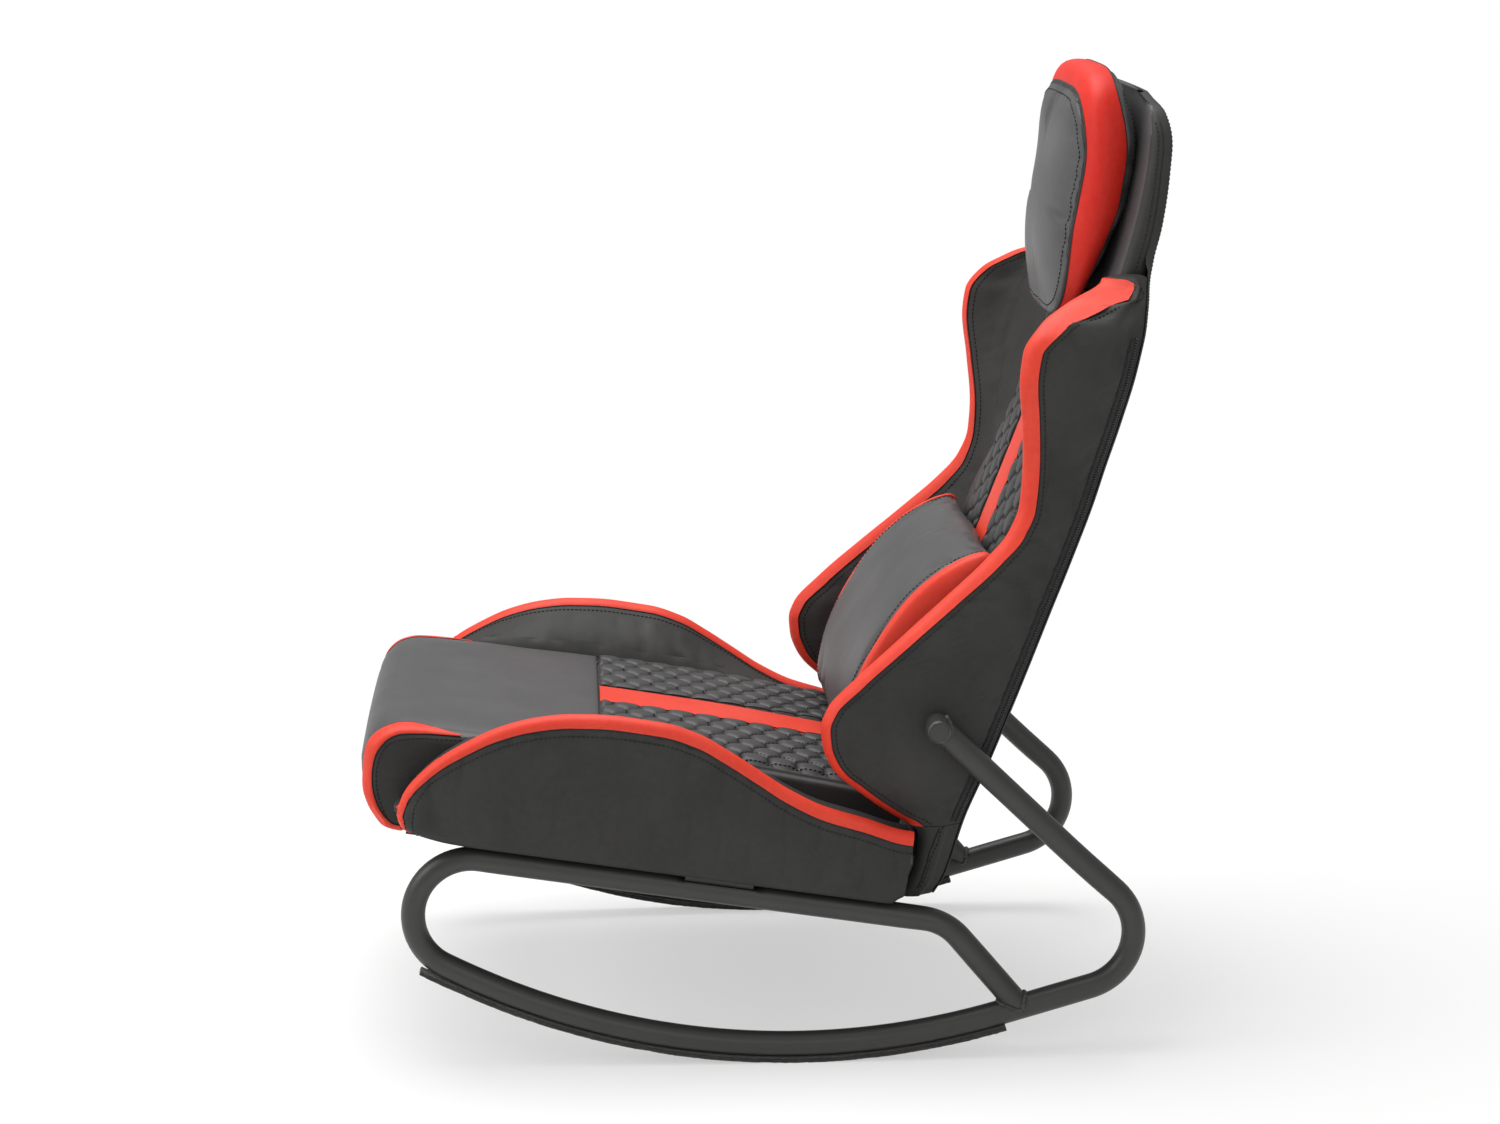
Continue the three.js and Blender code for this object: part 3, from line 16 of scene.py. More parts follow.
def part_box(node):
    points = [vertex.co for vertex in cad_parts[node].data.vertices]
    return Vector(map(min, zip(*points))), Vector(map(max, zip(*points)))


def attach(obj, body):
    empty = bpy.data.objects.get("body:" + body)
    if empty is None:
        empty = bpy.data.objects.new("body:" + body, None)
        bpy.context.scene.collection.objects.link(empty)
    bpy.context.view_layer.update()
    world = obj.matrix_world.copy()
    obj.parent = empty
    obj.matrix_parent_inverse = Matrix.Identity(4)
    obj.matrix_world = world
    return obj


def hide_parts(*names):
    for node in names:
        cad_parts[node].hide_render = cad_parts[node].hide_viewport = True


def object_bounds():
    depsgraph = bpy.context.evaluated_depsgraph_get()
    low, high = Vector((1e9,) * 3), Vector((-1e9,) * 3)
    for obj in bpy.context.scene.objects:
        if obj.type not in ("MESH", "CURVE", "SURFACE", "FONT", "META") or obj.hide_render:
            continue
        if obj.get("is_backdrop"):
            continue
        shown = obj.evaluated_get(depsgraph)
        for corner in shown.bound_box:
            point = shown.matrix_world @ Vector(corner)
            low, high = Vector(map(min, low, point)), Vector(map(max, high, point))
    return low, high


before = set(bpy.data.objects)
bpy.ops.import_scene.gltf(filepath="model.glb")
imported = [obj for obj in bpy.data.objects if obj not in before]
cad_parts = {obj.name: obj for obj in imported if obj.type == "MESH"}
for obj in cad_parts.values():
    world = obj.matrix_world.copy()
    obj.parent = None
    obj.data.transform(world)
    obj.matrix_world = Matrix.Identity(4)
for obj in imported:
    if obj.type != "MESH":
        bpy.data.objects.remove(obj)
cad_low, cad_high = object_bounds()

MM = 0.001
SIDES = (("left", 1), ("right", -1))
TUBE_SIDE = 243.0
SLEEVE_PLACE = (134.5, 347.0)
cap_low, cap_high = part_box("left_sleeve_cap")
SHIFT = (cap_low.y + cap_high.y) / 2 / MM - SLEEVE_PLACE[0]
print(f"chair {(cad_high - cad_low).y:.3f} m deep, drawn depths move by {SHIFT:.1f} mm")

# %% [markdown]
# ## Tables and curves
# The covers follow given tables of [place, value], as a pattern cutter's templates do. A table could be read
# straight from point to point, but that leaves flats, and a plain cubic spline overshoots at sudden turns.
# This curve is smooth and never rises above or falls below its points.

# %% A smooth curve through a table
def smooth(table):
    """A curve through [place, value] points that keeps every rise and fall of the table."""
    x, y = np.array(table, float).T
    rise = np.diff(y) / np.diff(x)
    slope = np.zeros(len(x))
    same = rise[:-1] * rise[1:] > 0
    slope[1:-1][same] = 2 / (1 / rise[:-1][same] + 1 / rise[1:][same])

    def curve(place):
        p = np.clip(place, x[0], x[-1])
        i = np.clip(np.searchsorted(x, p), 1, len(x) - 1)
        span = x[i] - x[i - 1]
        t = (p - x[i - 1]) / span
        start = y[i - 1] * (1 + 2 * t) * (1 - t) ** 2 + y[i] * t * t * (3 - 2 * t)
        return start + span * (slope[i - 1] * t * (1 - t) ** 2 + slope[i] * t * t * (t - 1))

    return curve


def ease(value, low, high):
    """0 below low, 1 above high, and a soft step between them."""
    t = np.clip((value - low) / (high - low), 0, 1)
    return t * t * (3 - 2 * t)


# %% Lines with evenly spaced points
def run_along(line):
    """How far along the line each of its points is."""
    return np.concatenate([[0], np.cumsum(np.linalg.norm(np.diff(line, axis=0), axis=1))])


def spaced(line, count):
    """The same line with count points at even distances."""
    line = np.asarray(line, float)
    run = run_along(line)
    where = np.linspace(0, run[-1], count)
    return np.column_stack([np.interp(where, run, part) for part in line.T])


def rounded_between(a, b, c, d, t):
    """The point at t on a rounded line from b to c that comes from a and goes on to d."""
    return 0.5 * (2 * b + (c - a) * t + (2 * a - 5 * b + 4 * c - d) * t * t
                  + (3 * b - a - 3 * c + d) * t ** 3)


# %% [markdown]
# ## Rounded outlines and lofted bodies
# Most covers are lofts: one closed outline after another along the seat or up the back. Every
# outline of a piece has the same number of points, so rows and columns of the finished grid run
# along the seams. The stitches, bands and creases can then be laid on the same rows. A subdivision
# surface over a coarse cage would be quicker to draw, but it pulls away from the CAD's sizes.

# %% An outline with rounded corners
CORNER_STEPS = 3
CORNER_SHARE = 0.48


def rounded(corners, radii, runs):
    """Closed outline. Corner i has a radius and a run of points up to the next corner."""
    corners = np.asarray(corners, float)
    count = len(corners)
    after = np.roll(corners, -1, axis=0) - corners
    length = np.maximum(np.linalg.norm(after, axis=1), 1e-6)
    entries, exits = [], []
    for i in range(count):
        back = min(radii[i], CORNER_SHARE * length[i - 1])
        ahead = min(radii[i], CORNER_SHARE * length[i])
        entries.append(corners[i] - after[i - 1] / length[i - 1] * back)
        exits.append(corners[i] + after[i] / length[i] * ahead)
    points = []
    for i in range(count):
        for t in np.linspace(0, 1, CORNER_STEPS + 1):
            points.append(entries[i] * (1 - t) ** 2 + corners[i] * 2 * t * (1 - t) + exits[i] * t * t)
        following = entries[(i + 1) % count]
        for t in np.arange(1, runs[i] + 1) / (runs[i] + 1):
            points.append(exits[i] * (1 - t) + following * t)
    return np.array(points)


# %% A closed grid of rows, with domed ends
CAP_SHARES = (0.93, 0.78, 0.55, 0.28, 0.08)


def ring_cap(ring, outward, depth):
    """Rings that close the end of a loft in a dome of this depth."""
    centre = ring.mean(axis=0)
    rings = []
    for share in CAP_SHARES:
        rings.append(centre + (ring - centre) * share + outward * depth * math.sqrt(1 - share ** 2))
    return rings


def loft_mesh(rows, start_depth=0.0, end_depth=0.0):
    """A closed skin over outlines with the same number of points, with a dome at each end."""
    rows = [np.asarray(row, float) for row in rows]
    start = rows[0].mean(axis=0) - rows[1].mean(axis=0)
    end = rows[-1].mean(axis=0) - rows[-2].mean(axis=0)
    first = ring_cap(rows[0], start / np.linalg.norm(start), start_depth)
    last = ring_cap(rows[-1], end / np.linalg.norm(end), end_depth)
    return grid_mesh([*first[::-1], *rows, *last])


def grid_mesh(rows):
    """Quads between rows of points that each close on themselves, and a face at each end."""
    count = len(rows[0])
    points = np.concatenate(rows)
    column = np.arange(count)
    following = (column + 1) % count
    faces = []
    for row in range(len(rows) - 1):
        a, b = row * count, (row + 1) * count
        faces += np.stack([a + column, a + following, b + following, b + column], axis=1).tolist()
    faces.append(column[::-1].tolist())
    faces.append(((len(rows) - 1) * count + column).tolist())
    return outward_faces(points, faces)


def outward_faces(points, faces):
    """The same faces, turned over where they enclose a negative volume."""
    volume = 0.0
    for face in faces:
        corner = points[face[0]]
        for i in range(1, len(face) - 1):
            volume += np.dot(corner, np.cross(points[face[i]], points[face[i + 1]]))
    return points, [face[::-1] for face in faces] if volume < 0 else faces


# %% From a drawing in millimetres to a piece of the chair
def add_piece(name, mesh_data, look, body="frame", replaces=(), sharp=40):
    """Make a smooth-shaded piece of a mesh drawn in millimetres; sharp is an angle in degrees."""
    points, faces = mesh_data
    mesh = bpy.data.meshes.new(name)
    mesh.from_pydata(((points + [0, SHIFT, 0]) * MM).tolist(), [], faces)
    mesh.validate()
    mesh.polygons.foreach_set("use_smooth", [True] * len(mesh.polygons))
    mesh.set_sharp_from_angle(angle=math.radians(sharp))
    mesh.materials.append(look)
    piece = bpy.data.objects.new(name, mesh)
    bpy.context.scene.collection.objects.link(piece)
    settle(piece, body, replaces)
    return piece


def paint(piece, look, chosen):
    """Give a second material to the faces that the test picks."""
    piece.data.materials.append(look)
    number = len(piece.data.materials) - 1
    for face in piece.data.polygons:
        if chosen(face.center / MM - Vector((0, SHIFT, 0)), face.normal):
            face.material_index = number


def settle(piece, body, replaces):
    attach(piece, body)
    if replaces:
        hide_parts(*replaces)


RAIL_TILT = math.radians(8.92)
RAIL_HEIGHT = 165.0


def turn_seat(points):
    """From (across, along the rails, above them) to the chair's own depth and height."""
    x, along, above = np.moveaxis(np.asarray(points, float), -1, 0)
    depth = along * math.cos(RAIL_TILT) + above * math.sin(RAIL_TILT)
    height = RAIL_HEIGHT - along * math.sin(RAIL_TILT) + above * math.cos(RAIL_TILT)
    return np.stack([x, depth, height], axis=-1)


# %% [markdown]
# ## Camera, floor and light
# The photograph was taken from the sitter's left with a long lens, a little above the arm of the
# bolster. The floor and the world are white by their own colour, and three broad, plain lamps
# stand in for studio softboxes: one above, one in front of the seat and one behind the camera.

# %% Camera
CAMERA_PLACE = (3.352, -0.219 + SHIFT * MM, 1.179)
PITCH, YAW = math.radians(12.15), math.radians(3.15)
LENS = 79.2

scene = bpy.context.scene
camera_data = bpy.data.cameras.new("camera")
camera_data.lens = LENS
camera_data.sensor_width = 36
camera = bpy.data.objects.new("camera", camera_data)
camera.location = CAMERA_PLACE
looking = Vector((-math.cos(PITCH) * math.cos(YAW), math.cos(PITCH) * math.sin(YAW), -math.sin(PITCH)))
camera.rotation_euler = looking.to_track_quat("-Z", "Y").to_euler()
scene.collection.objects.link(camera)
scene.camera = camera
scene.view_settings.view_transform = "Standard"
print(f"camera looks {math.degrees(PITCH):.1f} degrees down, lens {LENS} mm")

# %% [markdown]
# ## Shader sums as Python
# A material is a graph of nodes, and a graph written link by link is hard to read. Here a small
# class wraps one output socket. Python's own operators add the Math nodes, so a roughness can be
# written as 0.5 + (mottle - 0.5) * 0.16. Every other node comes from one method, add.

# %% A socket that understands arithmetic
class Wire:
    def __init__(self, look, socket):
        self.look, self.socket = look, socket

    def sum(self, operation, first, second):
        return self.look.add("ShaderNodeMath", {"operation": operation}, {0: first, 1: second})

    def __add__(self, other):
        return self.sum("ADD", self, other)

    def __sub__(self, other):
        return self.sum("SUBTRACT", self, other)

    def __mul__(self, other):
        return self.sum("MULTIPLY", self, other)

    __radd__ = __add__
    __rmul__ = __mul__


class Look:
    """A material under construction."""

    def __init__(self, name):
        self.material = bpy.data.materials.new(name)
        self.material.use_nodes = True
        self.tree = self.material.node_tree
        self.shader = self.tree.nodes["Principled BSDF"]

    def add(self, kind, settings=None, inputs=None, output=0):
        node = self.tree.nodes.new(kind)
        for key, value in (settings or {}).items():
            setattr(node, key, value)
        for key, value in (inputs or {}).items():
            self.join(node.inputs[key], value)
        return Wire(self, node.outputs[output])

    def join(self, socket, value):
        if isinstance(value, Wire):
            self.tree.links.new(value.socket, socket)
        else:
            socket.default_value = value

    def place(self):
        return self.add("ShaderNodeTexCoord", output="Object")

    def noise(self, size, detail=2.0):
        """Cloudy values from 0 to 1; size is the width of one cloud in millimetres."""
        return self.add("ShaderNodeTexNoise", None,
                        {"Vector": self.place(), "Scale": 1 / (size * MM), "Detail": detail})

    def cells(self, size, feature="F1"):
        """Distances inside cells that are size millimetres wide."""
        return self.add("ShaderNodeTexVoronoi", {"feature": feature},
                        {"Vector": self.place(), "Scale": 1 / (size * MM)}, "Distance")

    def between(self, mask, first, second):
        return self.add("ShaderNodeMix", {"data_type": "RGBA"},
                        {0: mask, 6: (*first, 1), 7: (*second, 1)}, output=2)

    def clamp(self, value, low=0.0, high=1.0):
        return self.add("ShaderNodeMapRange", None, {"Value": value, "From Min": low, "From Max": high})

    def bump(self, height, distance, strength):
        """Relief of a height from 0 to 1; distance is its depth in millimetres."""
        return self.add("ShaderNodeBump", None,
                        {"Height": height, "Distance": distance * MM, "Strength": strength})

    def finish(self, **sockets):
        for key, value in sockets.items():
            self.join(self.shader.inputs[key.replace("_", " ")], value)
        return self.material


# %% Floor, backdrop and lamps
FLOOR_HALF = 30.0
FADE_START, FADE_END = 0.45, 1.3
SHADOW_LIFT = 0.5
FLOOR_COLOUR = (0.93, 0.93, 0.925, 1)
WHITE = (1, 1, 1, 1)
WORLD_STRENGTH = 0.42


def floor_look():
    look = Look("studio_floor")
    place = look.place()
    away = look.add("ShaderNodeVectorMath", {"operation": "LENGTH"}, {0: place}, "Value")
    far = look.clamp(away, FADE_START, FADE_END)
    path = look.tree.nodes.new("ShaderNodeLightPath")
    seen = Wire(look, path.outputs["Is Camera Ray"]) + Wire(look, path.outputs["Is Glossy Ray"])
    seen = seen + Wire(look, path.outputs["Is Transmission Ray"])
    look.finish(Base_Color=FLOOR_COLOUR, Roughness=0.9, Specular_IOR_Level=0.0)
    white = look.tree.nodes.new("ShaderNodeEmission")
    mix = look.tree.nodes.new("ShaderNodeMixShader")
    look.join(mix.inputs[0], look.clamp(seen * (far * (1 - SHADOW_LIFT) + SHADOW_LIFT)))
    look.tree.links.new(look.shader.outputs[0], mix.inputs[1])
    look.tree.links.new(white.outputs[0], mix.inputs[2])
    output = look.tree.nodes["Material Output"]
    look.tree.links.new(mix.outputs[0], output.inputs["Surface"])
    return look.material


floor_mesh = bpy.data.meshes.new("floor")
corners = [(x * FLOOR_HALF, y * FLOOR_HALF, 0) for x, y in ((-1, -1), (1, -1), (1, 1), (-1, 1))]
floor_mesh.from_pydata(corners, [], [(0, 1, 2, 3)])
floor_mesh.materials.append(floor_look())
floor = bpy.data.objects.new("floor", floor_mesh)
scene.collection.objects.link(floor)
floor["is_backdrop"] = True


def white_world():
    world = bpy.data.worlds.new("studio")
    world.use_nodes = True
    tree = world.node_tree
    lit = tree.nodes["Background"]
    lit.inputs["Strength"].default_value = WORLD_STRENGTH
    shown = tree.nodes.new("ShaderNodeBackground")
    shown.inputs["Color"].default_value = WHITE
    lit.inputs["Color"].default_value = WHITE
    path = tree.nodes.new("ShaderNodeLightPath")
    mix = tree.nodes.new("ShaderNodeMixShader")
    tree.links.new(path.outputs["Is Camera Ray"], mix.inputs[0])
    tree.links.new(lit.outputs[0], mix.inputs[1])
    tree.links.new(shown.outputs[0], mix.inputs[2])
    tree.links.new(mix.outputs[0], tree.nodes["World Output"].inputs["Surface"])
    return world


scene.world = white_world()


# name: place, the point it is aimed at, width and height, watts
SOFTBOXES = {
    "softbox_above": ((-0.4, -0.4, 2.9), (0, 0, 0.3), (2.5, 2.2), 84),
    "softbox_front": ((0.6, -2.9, 1.9), (0, -0.1, 0.5), (2.0, 1.8), 40),
    "softbox_side": ((3.2, 0.9, 1.9), (0, 0.05, 0.4), (1.9, 1.9), 17),
}


def softbox(name, place, target, size, watts):
    data = bpy.data.lights.new(name, "AREA")
    data.shape = "RECTANGLE"
    data.size, data.size_y = size
    data.energy = watts
    lamp = bpy.data.objects.new(name, data)
    lamp.location = place
    lamp.rotation_euler = (Vector(target) - Vector(place)).to_track_quat("-Z", "Y").to_euler()
    scene.collection.objects.link(lamp)


for name, values in SOFTBOXES.items():
    softbox(name, *values)
print("floor, world and", len(SOFTBOXES), "lamps are set")

# %% [markdown]
# ## Finishes
# The covers are smooth artificial leather: a fine pebble grain under a slightly waxy coat, paler where hands
# and light polish it. The black and red covers share one recipe. So does a lighter copy of the black, which
# stands in for the sheen on faces that look up or forward: painted sheen. In hollows such as seam grooves and
# quilting valleys, the recipe darkens the colour: painted shade. The tubes are matt black powder coat, which
# has its own fine orange-peel surface and rubs paler on edges.

# %% Artificial leather
PEBBLE_WIDTH, CREASE_WIDTH, GRAIN_DEPTH = 1.1, 2.4, 0.09
# Share of the colour left in hollows, where the recipe paints shade.
VALLEY_SHADE = 0.45

# name: colour where hands don't reach, worn colour, roughness, specular level, coat
LEATHERS = {
    "black_leather": ((0.0275, 0.0271, 0.0259), (0.0355, 0.035, 0.0333), 0.6, 0.24, 0.03),
    # This row is the black leather made lighter to paint the sheen on faces that look up or forward: painted
    # sheen.
    "charcoal_leather": ((0.056, 0.055, 0.056), (0.071, 0.069, 0.071), 0.48, 0.42, 0.07),
    "quilted_leather": ((0.033, 0.032, 0.033), (0.046, 0.045, 0.046), 0.52, 0.42, 0.07),
    "red_leather": ((0.66, 0.040, 0.020), (0.73, 0.058, 0.029), 0.5, 0.26, 0.02),
    "deep_red_leather": ((0.54, 0.017, 0.010), (0.62, 0.026, 0.015), 0.52, 0.2, 0.01),
}


def leather(name, deep, worn, roughness, specular, coat):
    look = Look(name)
    cloud = look.noise(60, 3.0)
    mottle = look.noise(7, 2.0)
    pebble = look.cells(PEBBLE_WIDTH)
    crease = look.cells(CREASE_WIDTH, "DISTANCE_TO_EDGE")
    wear = look.clamp(cloud * 0.6 + mottle * 0.4, 0.35, 0.72)
    height = pebble * 0.5 + look.clamp(crease, 0.0, 0.25) * 0.5 + mottle * 0.6
    # Pointiness is low in hollows such as seam grooves and quilting valleys. There the colour is darkened to
    # the shadowed tone: painted shade.
    bend = look.add("ShaderNodeNewGeometry", output="Pointiness")
    open_part = look.clamp(bend, 0.41, 0.5)
    shadowed = tuple(part * VALLEY_SHADE for part in deep)
    even = look.between(wear, deep, worn)
    colour = look.add("ShaderNodeMix", {"data_type": "RGBA"},
                      {0: open_part, 6: (*shadowed, 1), 7: even}, output=2)
    return look.finish(
        Base_Color=colour,
        Roughness=roughness + (mottle - 0.5) * 0.16 - (wear - 0.5) * 0.07,
        Specular_IOR_Level=specular,
        Coat_Roughness=0.35,
        Coat_Weight=coat + wear * 0.04,
        Normal=look.bump(height, GRAIN_DEPTH, 0.55))


black_leather, charcoal_leather, quilted_leather, red_leather, deep_red_leather = (
    leather(name, *values) for name, values in LEATHERS.items())
print(len(LEATHERS), "leathers")


# %% Powder-coated tube
def powder_coat():
    look = Look("powder_coat")
    peel = look.noise(1.6, 2.0)
    patch = look.noise(45, 3.0)
    edge = look.add("ShaderNodeNewGeometry", output="Pointiness")
    rubbed = look.clamp(edge + (patch - 0.5) * 0.06, 0.53, 0.62)
    colour = look.between(rubbed * 0.5 + patch * 0.3, (0.026, 0.026, 0.024), (0.060, 0.060, 0.055))
    return look.finish(
        Base_Color=colour,
        Roughness=0.42 + (peel - 0.5) * 0.22 + rubbed * 0.05,
        Normal=look.bump(peel, 0.12, 0.5))


tube_paint = powder_coat()


# %% Thread, plastic, felt, steel and webbing
def thread(name, colour):
    look = Look(name)
    twist = look.noise(0.8, 1.0)
    shade = tuple(part * 0.6 for part in colour)
    return look.finish(Base_Color=look.between(twist, shade, colour), Roughness=0.75,
                       Normal=look.bump(twist, 0.15, 0.6))


def moulded_plastic():
    look = Look("moulded_plastic")
    fine = look.noise(0.9, 2.0)
    scuff = look.noise(9, 3.0)
    return look.finish(Base_Color=look.between(scuff, (0.016, 0.016, 0.016), (0.028, 0.028, 0.027)),
                       Roughness=0.42 + (scuff - 0.5) * 0.2, Normal=look.bump(fine, 0.08, 0.5))


def felt():
    look = Look("felt")
    fibre = look.noise(0.9, 4.0)
    dust = look.noise(25, 3.0)
    height = fibre + look.cells(1.6) * 0.5
    return look.finish(
        Base_Color=look.between(look.clamp(fibre * 0.6 + dust * 0.5, 0.3, 0.8),
                                (0.012, 0.011, 0.010), (0.05, 0.045, 0.04)),
        Roughness=0.95, Sheen_Weight=0.4, Sheen_Roughness=0.5, Normal=look.bump(height, 0.9, 0.9))


def zinc_steel():
    look = Look("zinc_steel")
    grain = look.noise(2.5, 3.0)
    return look.finish(Base_Color=look.between(grain, (0.42, 0.42, 0.40), (0.62, 0.62, 0.60)), Metallic=0.9,
                       Roughness=0.32 + (grain - 0.5) * 0.25, Normal=look.bump(grain, 0.04, 0.4))


THREADS = {"X": 300.0, "Z": 260.0}


def woven_tape():
    look = Look("woven_tape")
    warp, weft = (look.add("ShaderNodeTexWave", {"wave_type": "BANDS", "bands_direction": way},
                           {"Vector": look.place(), "Scale": threads}) for way, threads in THREADS.items())
    fuzz = look.noise(3, 3.0)
    weave_height = warp * weft + fuzz * 0.4
    return look.finish(
        Base_Color=look.between(look.clamp(weave_height), (0.008, 0.008, 0.009), (0.03, 0.03, 0.032)),
        Roughness=0.85, Normal=look.bump(weave_height, 0.3, 0.7))


black_thread = thread("black_thread", (0.006, 0.006, 0.006))
quilt_thread = thread("quilt_thread", (0.014, 0.014, 0.014))
plastic_look, felt_look = moulded_plastic(), felt()
steel_look, tape_look = zinc_steel(), woven_tape()
print("finishes:", ", ".join(sorted(m.name for m in bpy.data.materials)))

# %% [markdown]
# ## The bent-tube side frames
# Each side is one long steel tube: it starts at the sleeve in the back, runs down and round the
# rear bend, along the rocker, round the front bend, back under the seat as a rail, and down again
# as a leg. A curve with a bevel would draw it at once; sweeping a ring of points by hand lets the
# bends flatten slightly and the seat plate press its flat into the rail, as on the real tube.

# %% The centre line of a side frame
TUBE_RADIUS = 12.5
BEND = 58.0
ROCKER = 750.0
FELT_THICKNESS = 5.0
SEATED = 0.3
RUNNER = ROCKER - FELT_THICKNESS - SEATED - TUBE_RADIUS
STEP = math.radians(4.6)
ROCKER_CENTRE = np.array([0.0, ROCKER * math.cos(STEP / 2)])
TAIL = 3.5 * STEP
LEG_ANGLE = math.radians(50)
SLEEVE_SIDE = 264.0
SLEEVE_END = (132.6, 347.6)
KINK = np.array([277.5, 205.0])
KINK_SOFT = 30.0
RAIL_BEND_PLACE = 126.0
REAR_DEPTH = 334.5 - BEND

rail_way = np.array([math.cos(RAIL_TILT), -math.sin(RAIL_TILT)])
rail_up = np.array([math.sin(RAIL_TILT), math.cos(RAIL_TILT)])
leg_way = np.array([math.cos(LEG_ANGLE), -math.sin(LEG_ANGLE)])
tail_way = np.array([math.cos(TAIL), math.sin(TAIL)])


def front_bend_centre():
    """Where a bend must lie to touch both the rail and the runner."""
    foot = np.array([0, RAIL_HEIGHT]) - BEND * rail_up
    to_foot = foot - ROCKER_CENTRE
    along = to_foot @ rail_way
    travel = -along - math.sqrt(along ** 2 - to_foot @ to_foot + (RUNNER - BEND) ** 2)
    return foot + travel * rail_way


front_centre = front_bend_centre()
tail_start = ROCKER_CENTRE + RUNNER * np.array([math.sin(TAIL), -math.cos(TAIL)])
rear_height = tail_start[1] + (REAR_DEPTH - tail_start[0]) * math.tan(TAIL) + BEND / math.cos(TAIL)
rear_centre = np.array([REAR_DEPTH, rear_height])
rail_bend_centre = np.array([0, RAIL_HEIGHT]) + RAIL_BEND_PLACE * rail_way - BEND * rail_up
leg_start = rail_bend_centre + BEND * np.array([math.sin(LEG_ANGLE), math.cos(LEG_ANGLE)])
gap = tail_start - leg_start
crossing = leg_way[0] * tail_way[1] - leg_way[1] * tail_way[0]
leg_length = (gap[0] * tail_way[1] - gap[1] * tail_way[0]) / crossing
weld_place = leg_start + leg_length * leg_way


def arc_points(centre, radius, start, end, spacing=5.0):
    count = max(int(abs(end - start) * radius / spacing), 3)
    angles = np.linspace(start, end, count + 1)
    return centre + radius * np.stack([np.cos(angles), np.sin(angles)], axis=1)


def straight(start, end, spacing=16.0):
    count = max(int(np.linalg.norm(end - start) / spacing), 1)
    return start + (end - start) * np.linspace(0, 1, count + 1)[1:-1, None]


def side_path(side):
    """The tube's centre line, from the sleeve down, round and back to the weld on the runner."""
    reach = KINK - rear_centre
    rear_start = math.atan2(reach[1], reach[0]) - math.acos(BEND / np.linalg.norm(reach))
    to_front = front_centre - ROCKER_CENTRE
    front_entry = math.atan2(to_front[1], to_front[0]) + 2 * math.pi
    flat = [
        arc_points(rear_centre, BEND, rear_start, TAIL - math.pi / 2),
        straight(rear_centre + BEND * np.array([math.sin(TAIL), -math.cos(TAIL)]), tail_start),
        arc_points(ROCKER_CENTRE, RUNNER, TAIL - math.pi / 2, front_entry - 2 * math.pi, 14.0),
        arc_points(front_centre, BEND, front_entry, math.pi / 2 - RAIL_TILT)[1:],
    ]
    rail_from = front_centre + BEND * rail_up
    rail_to = rail_bend_centre + BEND * rail_up
    flat += [straight(rail_from, rail_to, 7.0),
             arc_points(rail_bend_centre, BEND, math.pi / 2 - RAIL_TILT, math.pi / 2 - LEG_ANGLE),
             straight(leg_start, weld_place), weld_place[None]]
    flat = np.concatenate(flat)
    lower = np.column_stack([np.full(len(flat), side * TUBE_SIDE), flat])
    top = np.array([side * SLEEVE_SIDE, *SLEEVE_PLACE])
    kink = np.array([side * TUBE_SIDE, *KINK])
    down = (lower[0] - kink) / np.linalg.norm(lower[0] - kink)
    fall = (kink - top) / np.linalg.norm(kink - top)
    t = np.linspace(0, 1, 9)[:, None]
    before, after = kink - fall * KINK_SOFT, kink + down * KINK_SOFT
    bend = before * (1 - t) ** 2 + kink * 2 * t * (1 - t) + after * t * t
    upper = top + (bend[0] - top) * np.linspace(0, 1, 12)[:-1, None]
    between = bend[-1] + (lower[0] - bend[-1]) * np.linspace(0, 1, 4)[1:-1, None]
    return np.concatenate([upper, bend, between, lower])


print(f"one side frame takes {run_along(side_path(1))[-1] * MM:.2f} m of tube")

# %% A tube swept along its centre line
TUBE_SIDES, TURN_SPREAD = 28, 5
FLATTENING = 0.045


def swept(path):
    """Rings of the tube, flatter where it bends and pressed flat under the seat plate."""
    ways = np.gradient(path, axis=0)
    ways /= np.linalg.norm(ways, axis=1)[:, None]
    turn = np.zeros(len(path))
    step = np.linalg.norm(path[2:] - path[1:-1], axis=1)
    turn[1:-1] = np.linalg.norm(np.diff(ways, axis=0), axis=1)[1:] / step
    turn = np.convolve(turn, np.ones(TURN_SPREAD) / TURN_SPREAD, "same")
    across = np.array([1.0, 0, 0])
    angles = np.arange(TUBE_SIDES) / TUBE_SIDES * 2 * math.pi
    rows = []
    for point, way, bent in zip(path, ways, turn):
        first = across - way * (across @ way)
        first /= np.linalg.norm(first)
        second = np.cross(way, first)
        flat = 1 - FLATTENING * min(bent * BEND, 1.0)
        ring = point + TUBE_RADIUS * (np.cos(angles)[:, None] * first * (2 - flat)
                                      + np.sin(angles)[:, None] * second * flat)
        rows.append(press_flat(ring))
    return rows


FLAT_CENTRE, FLAT_HALF, FLAT_DEPTH, FLAT_RUNOUT = -81.0, 36.5, 5.0, 9.0


def press_flat(ring):
    """Push the top of a ring down where the seat plate lies on the rail."""
    depth, height = ring[:, 1], ring[:, 2] - RAIL_HEIGHT
    along = depth * rail_way[0] + height * rail_way[1]
    above = depth * rail_up[0] + height * rail_up[1]
    near = FLAT_HALF + FLAT_RUNOUT - np.abs(along - FLAT_CENTRE)
    press = ease(near, 0, 12) * (np.abs(above) < TUBE_RADIUS + 1)
    sink = np.maximum(above - (TUBE_RADIUS - FLAT_DEPTH), 0) * press
    return ring - sink[:, None] * np.array([0, *rail_up])


# %% Weld beads where tube meets tube
BEAD, BEAD_WAVE, BEAD_RINGS, BEAD_SIDES = 2.6, 0.16, 64, 10


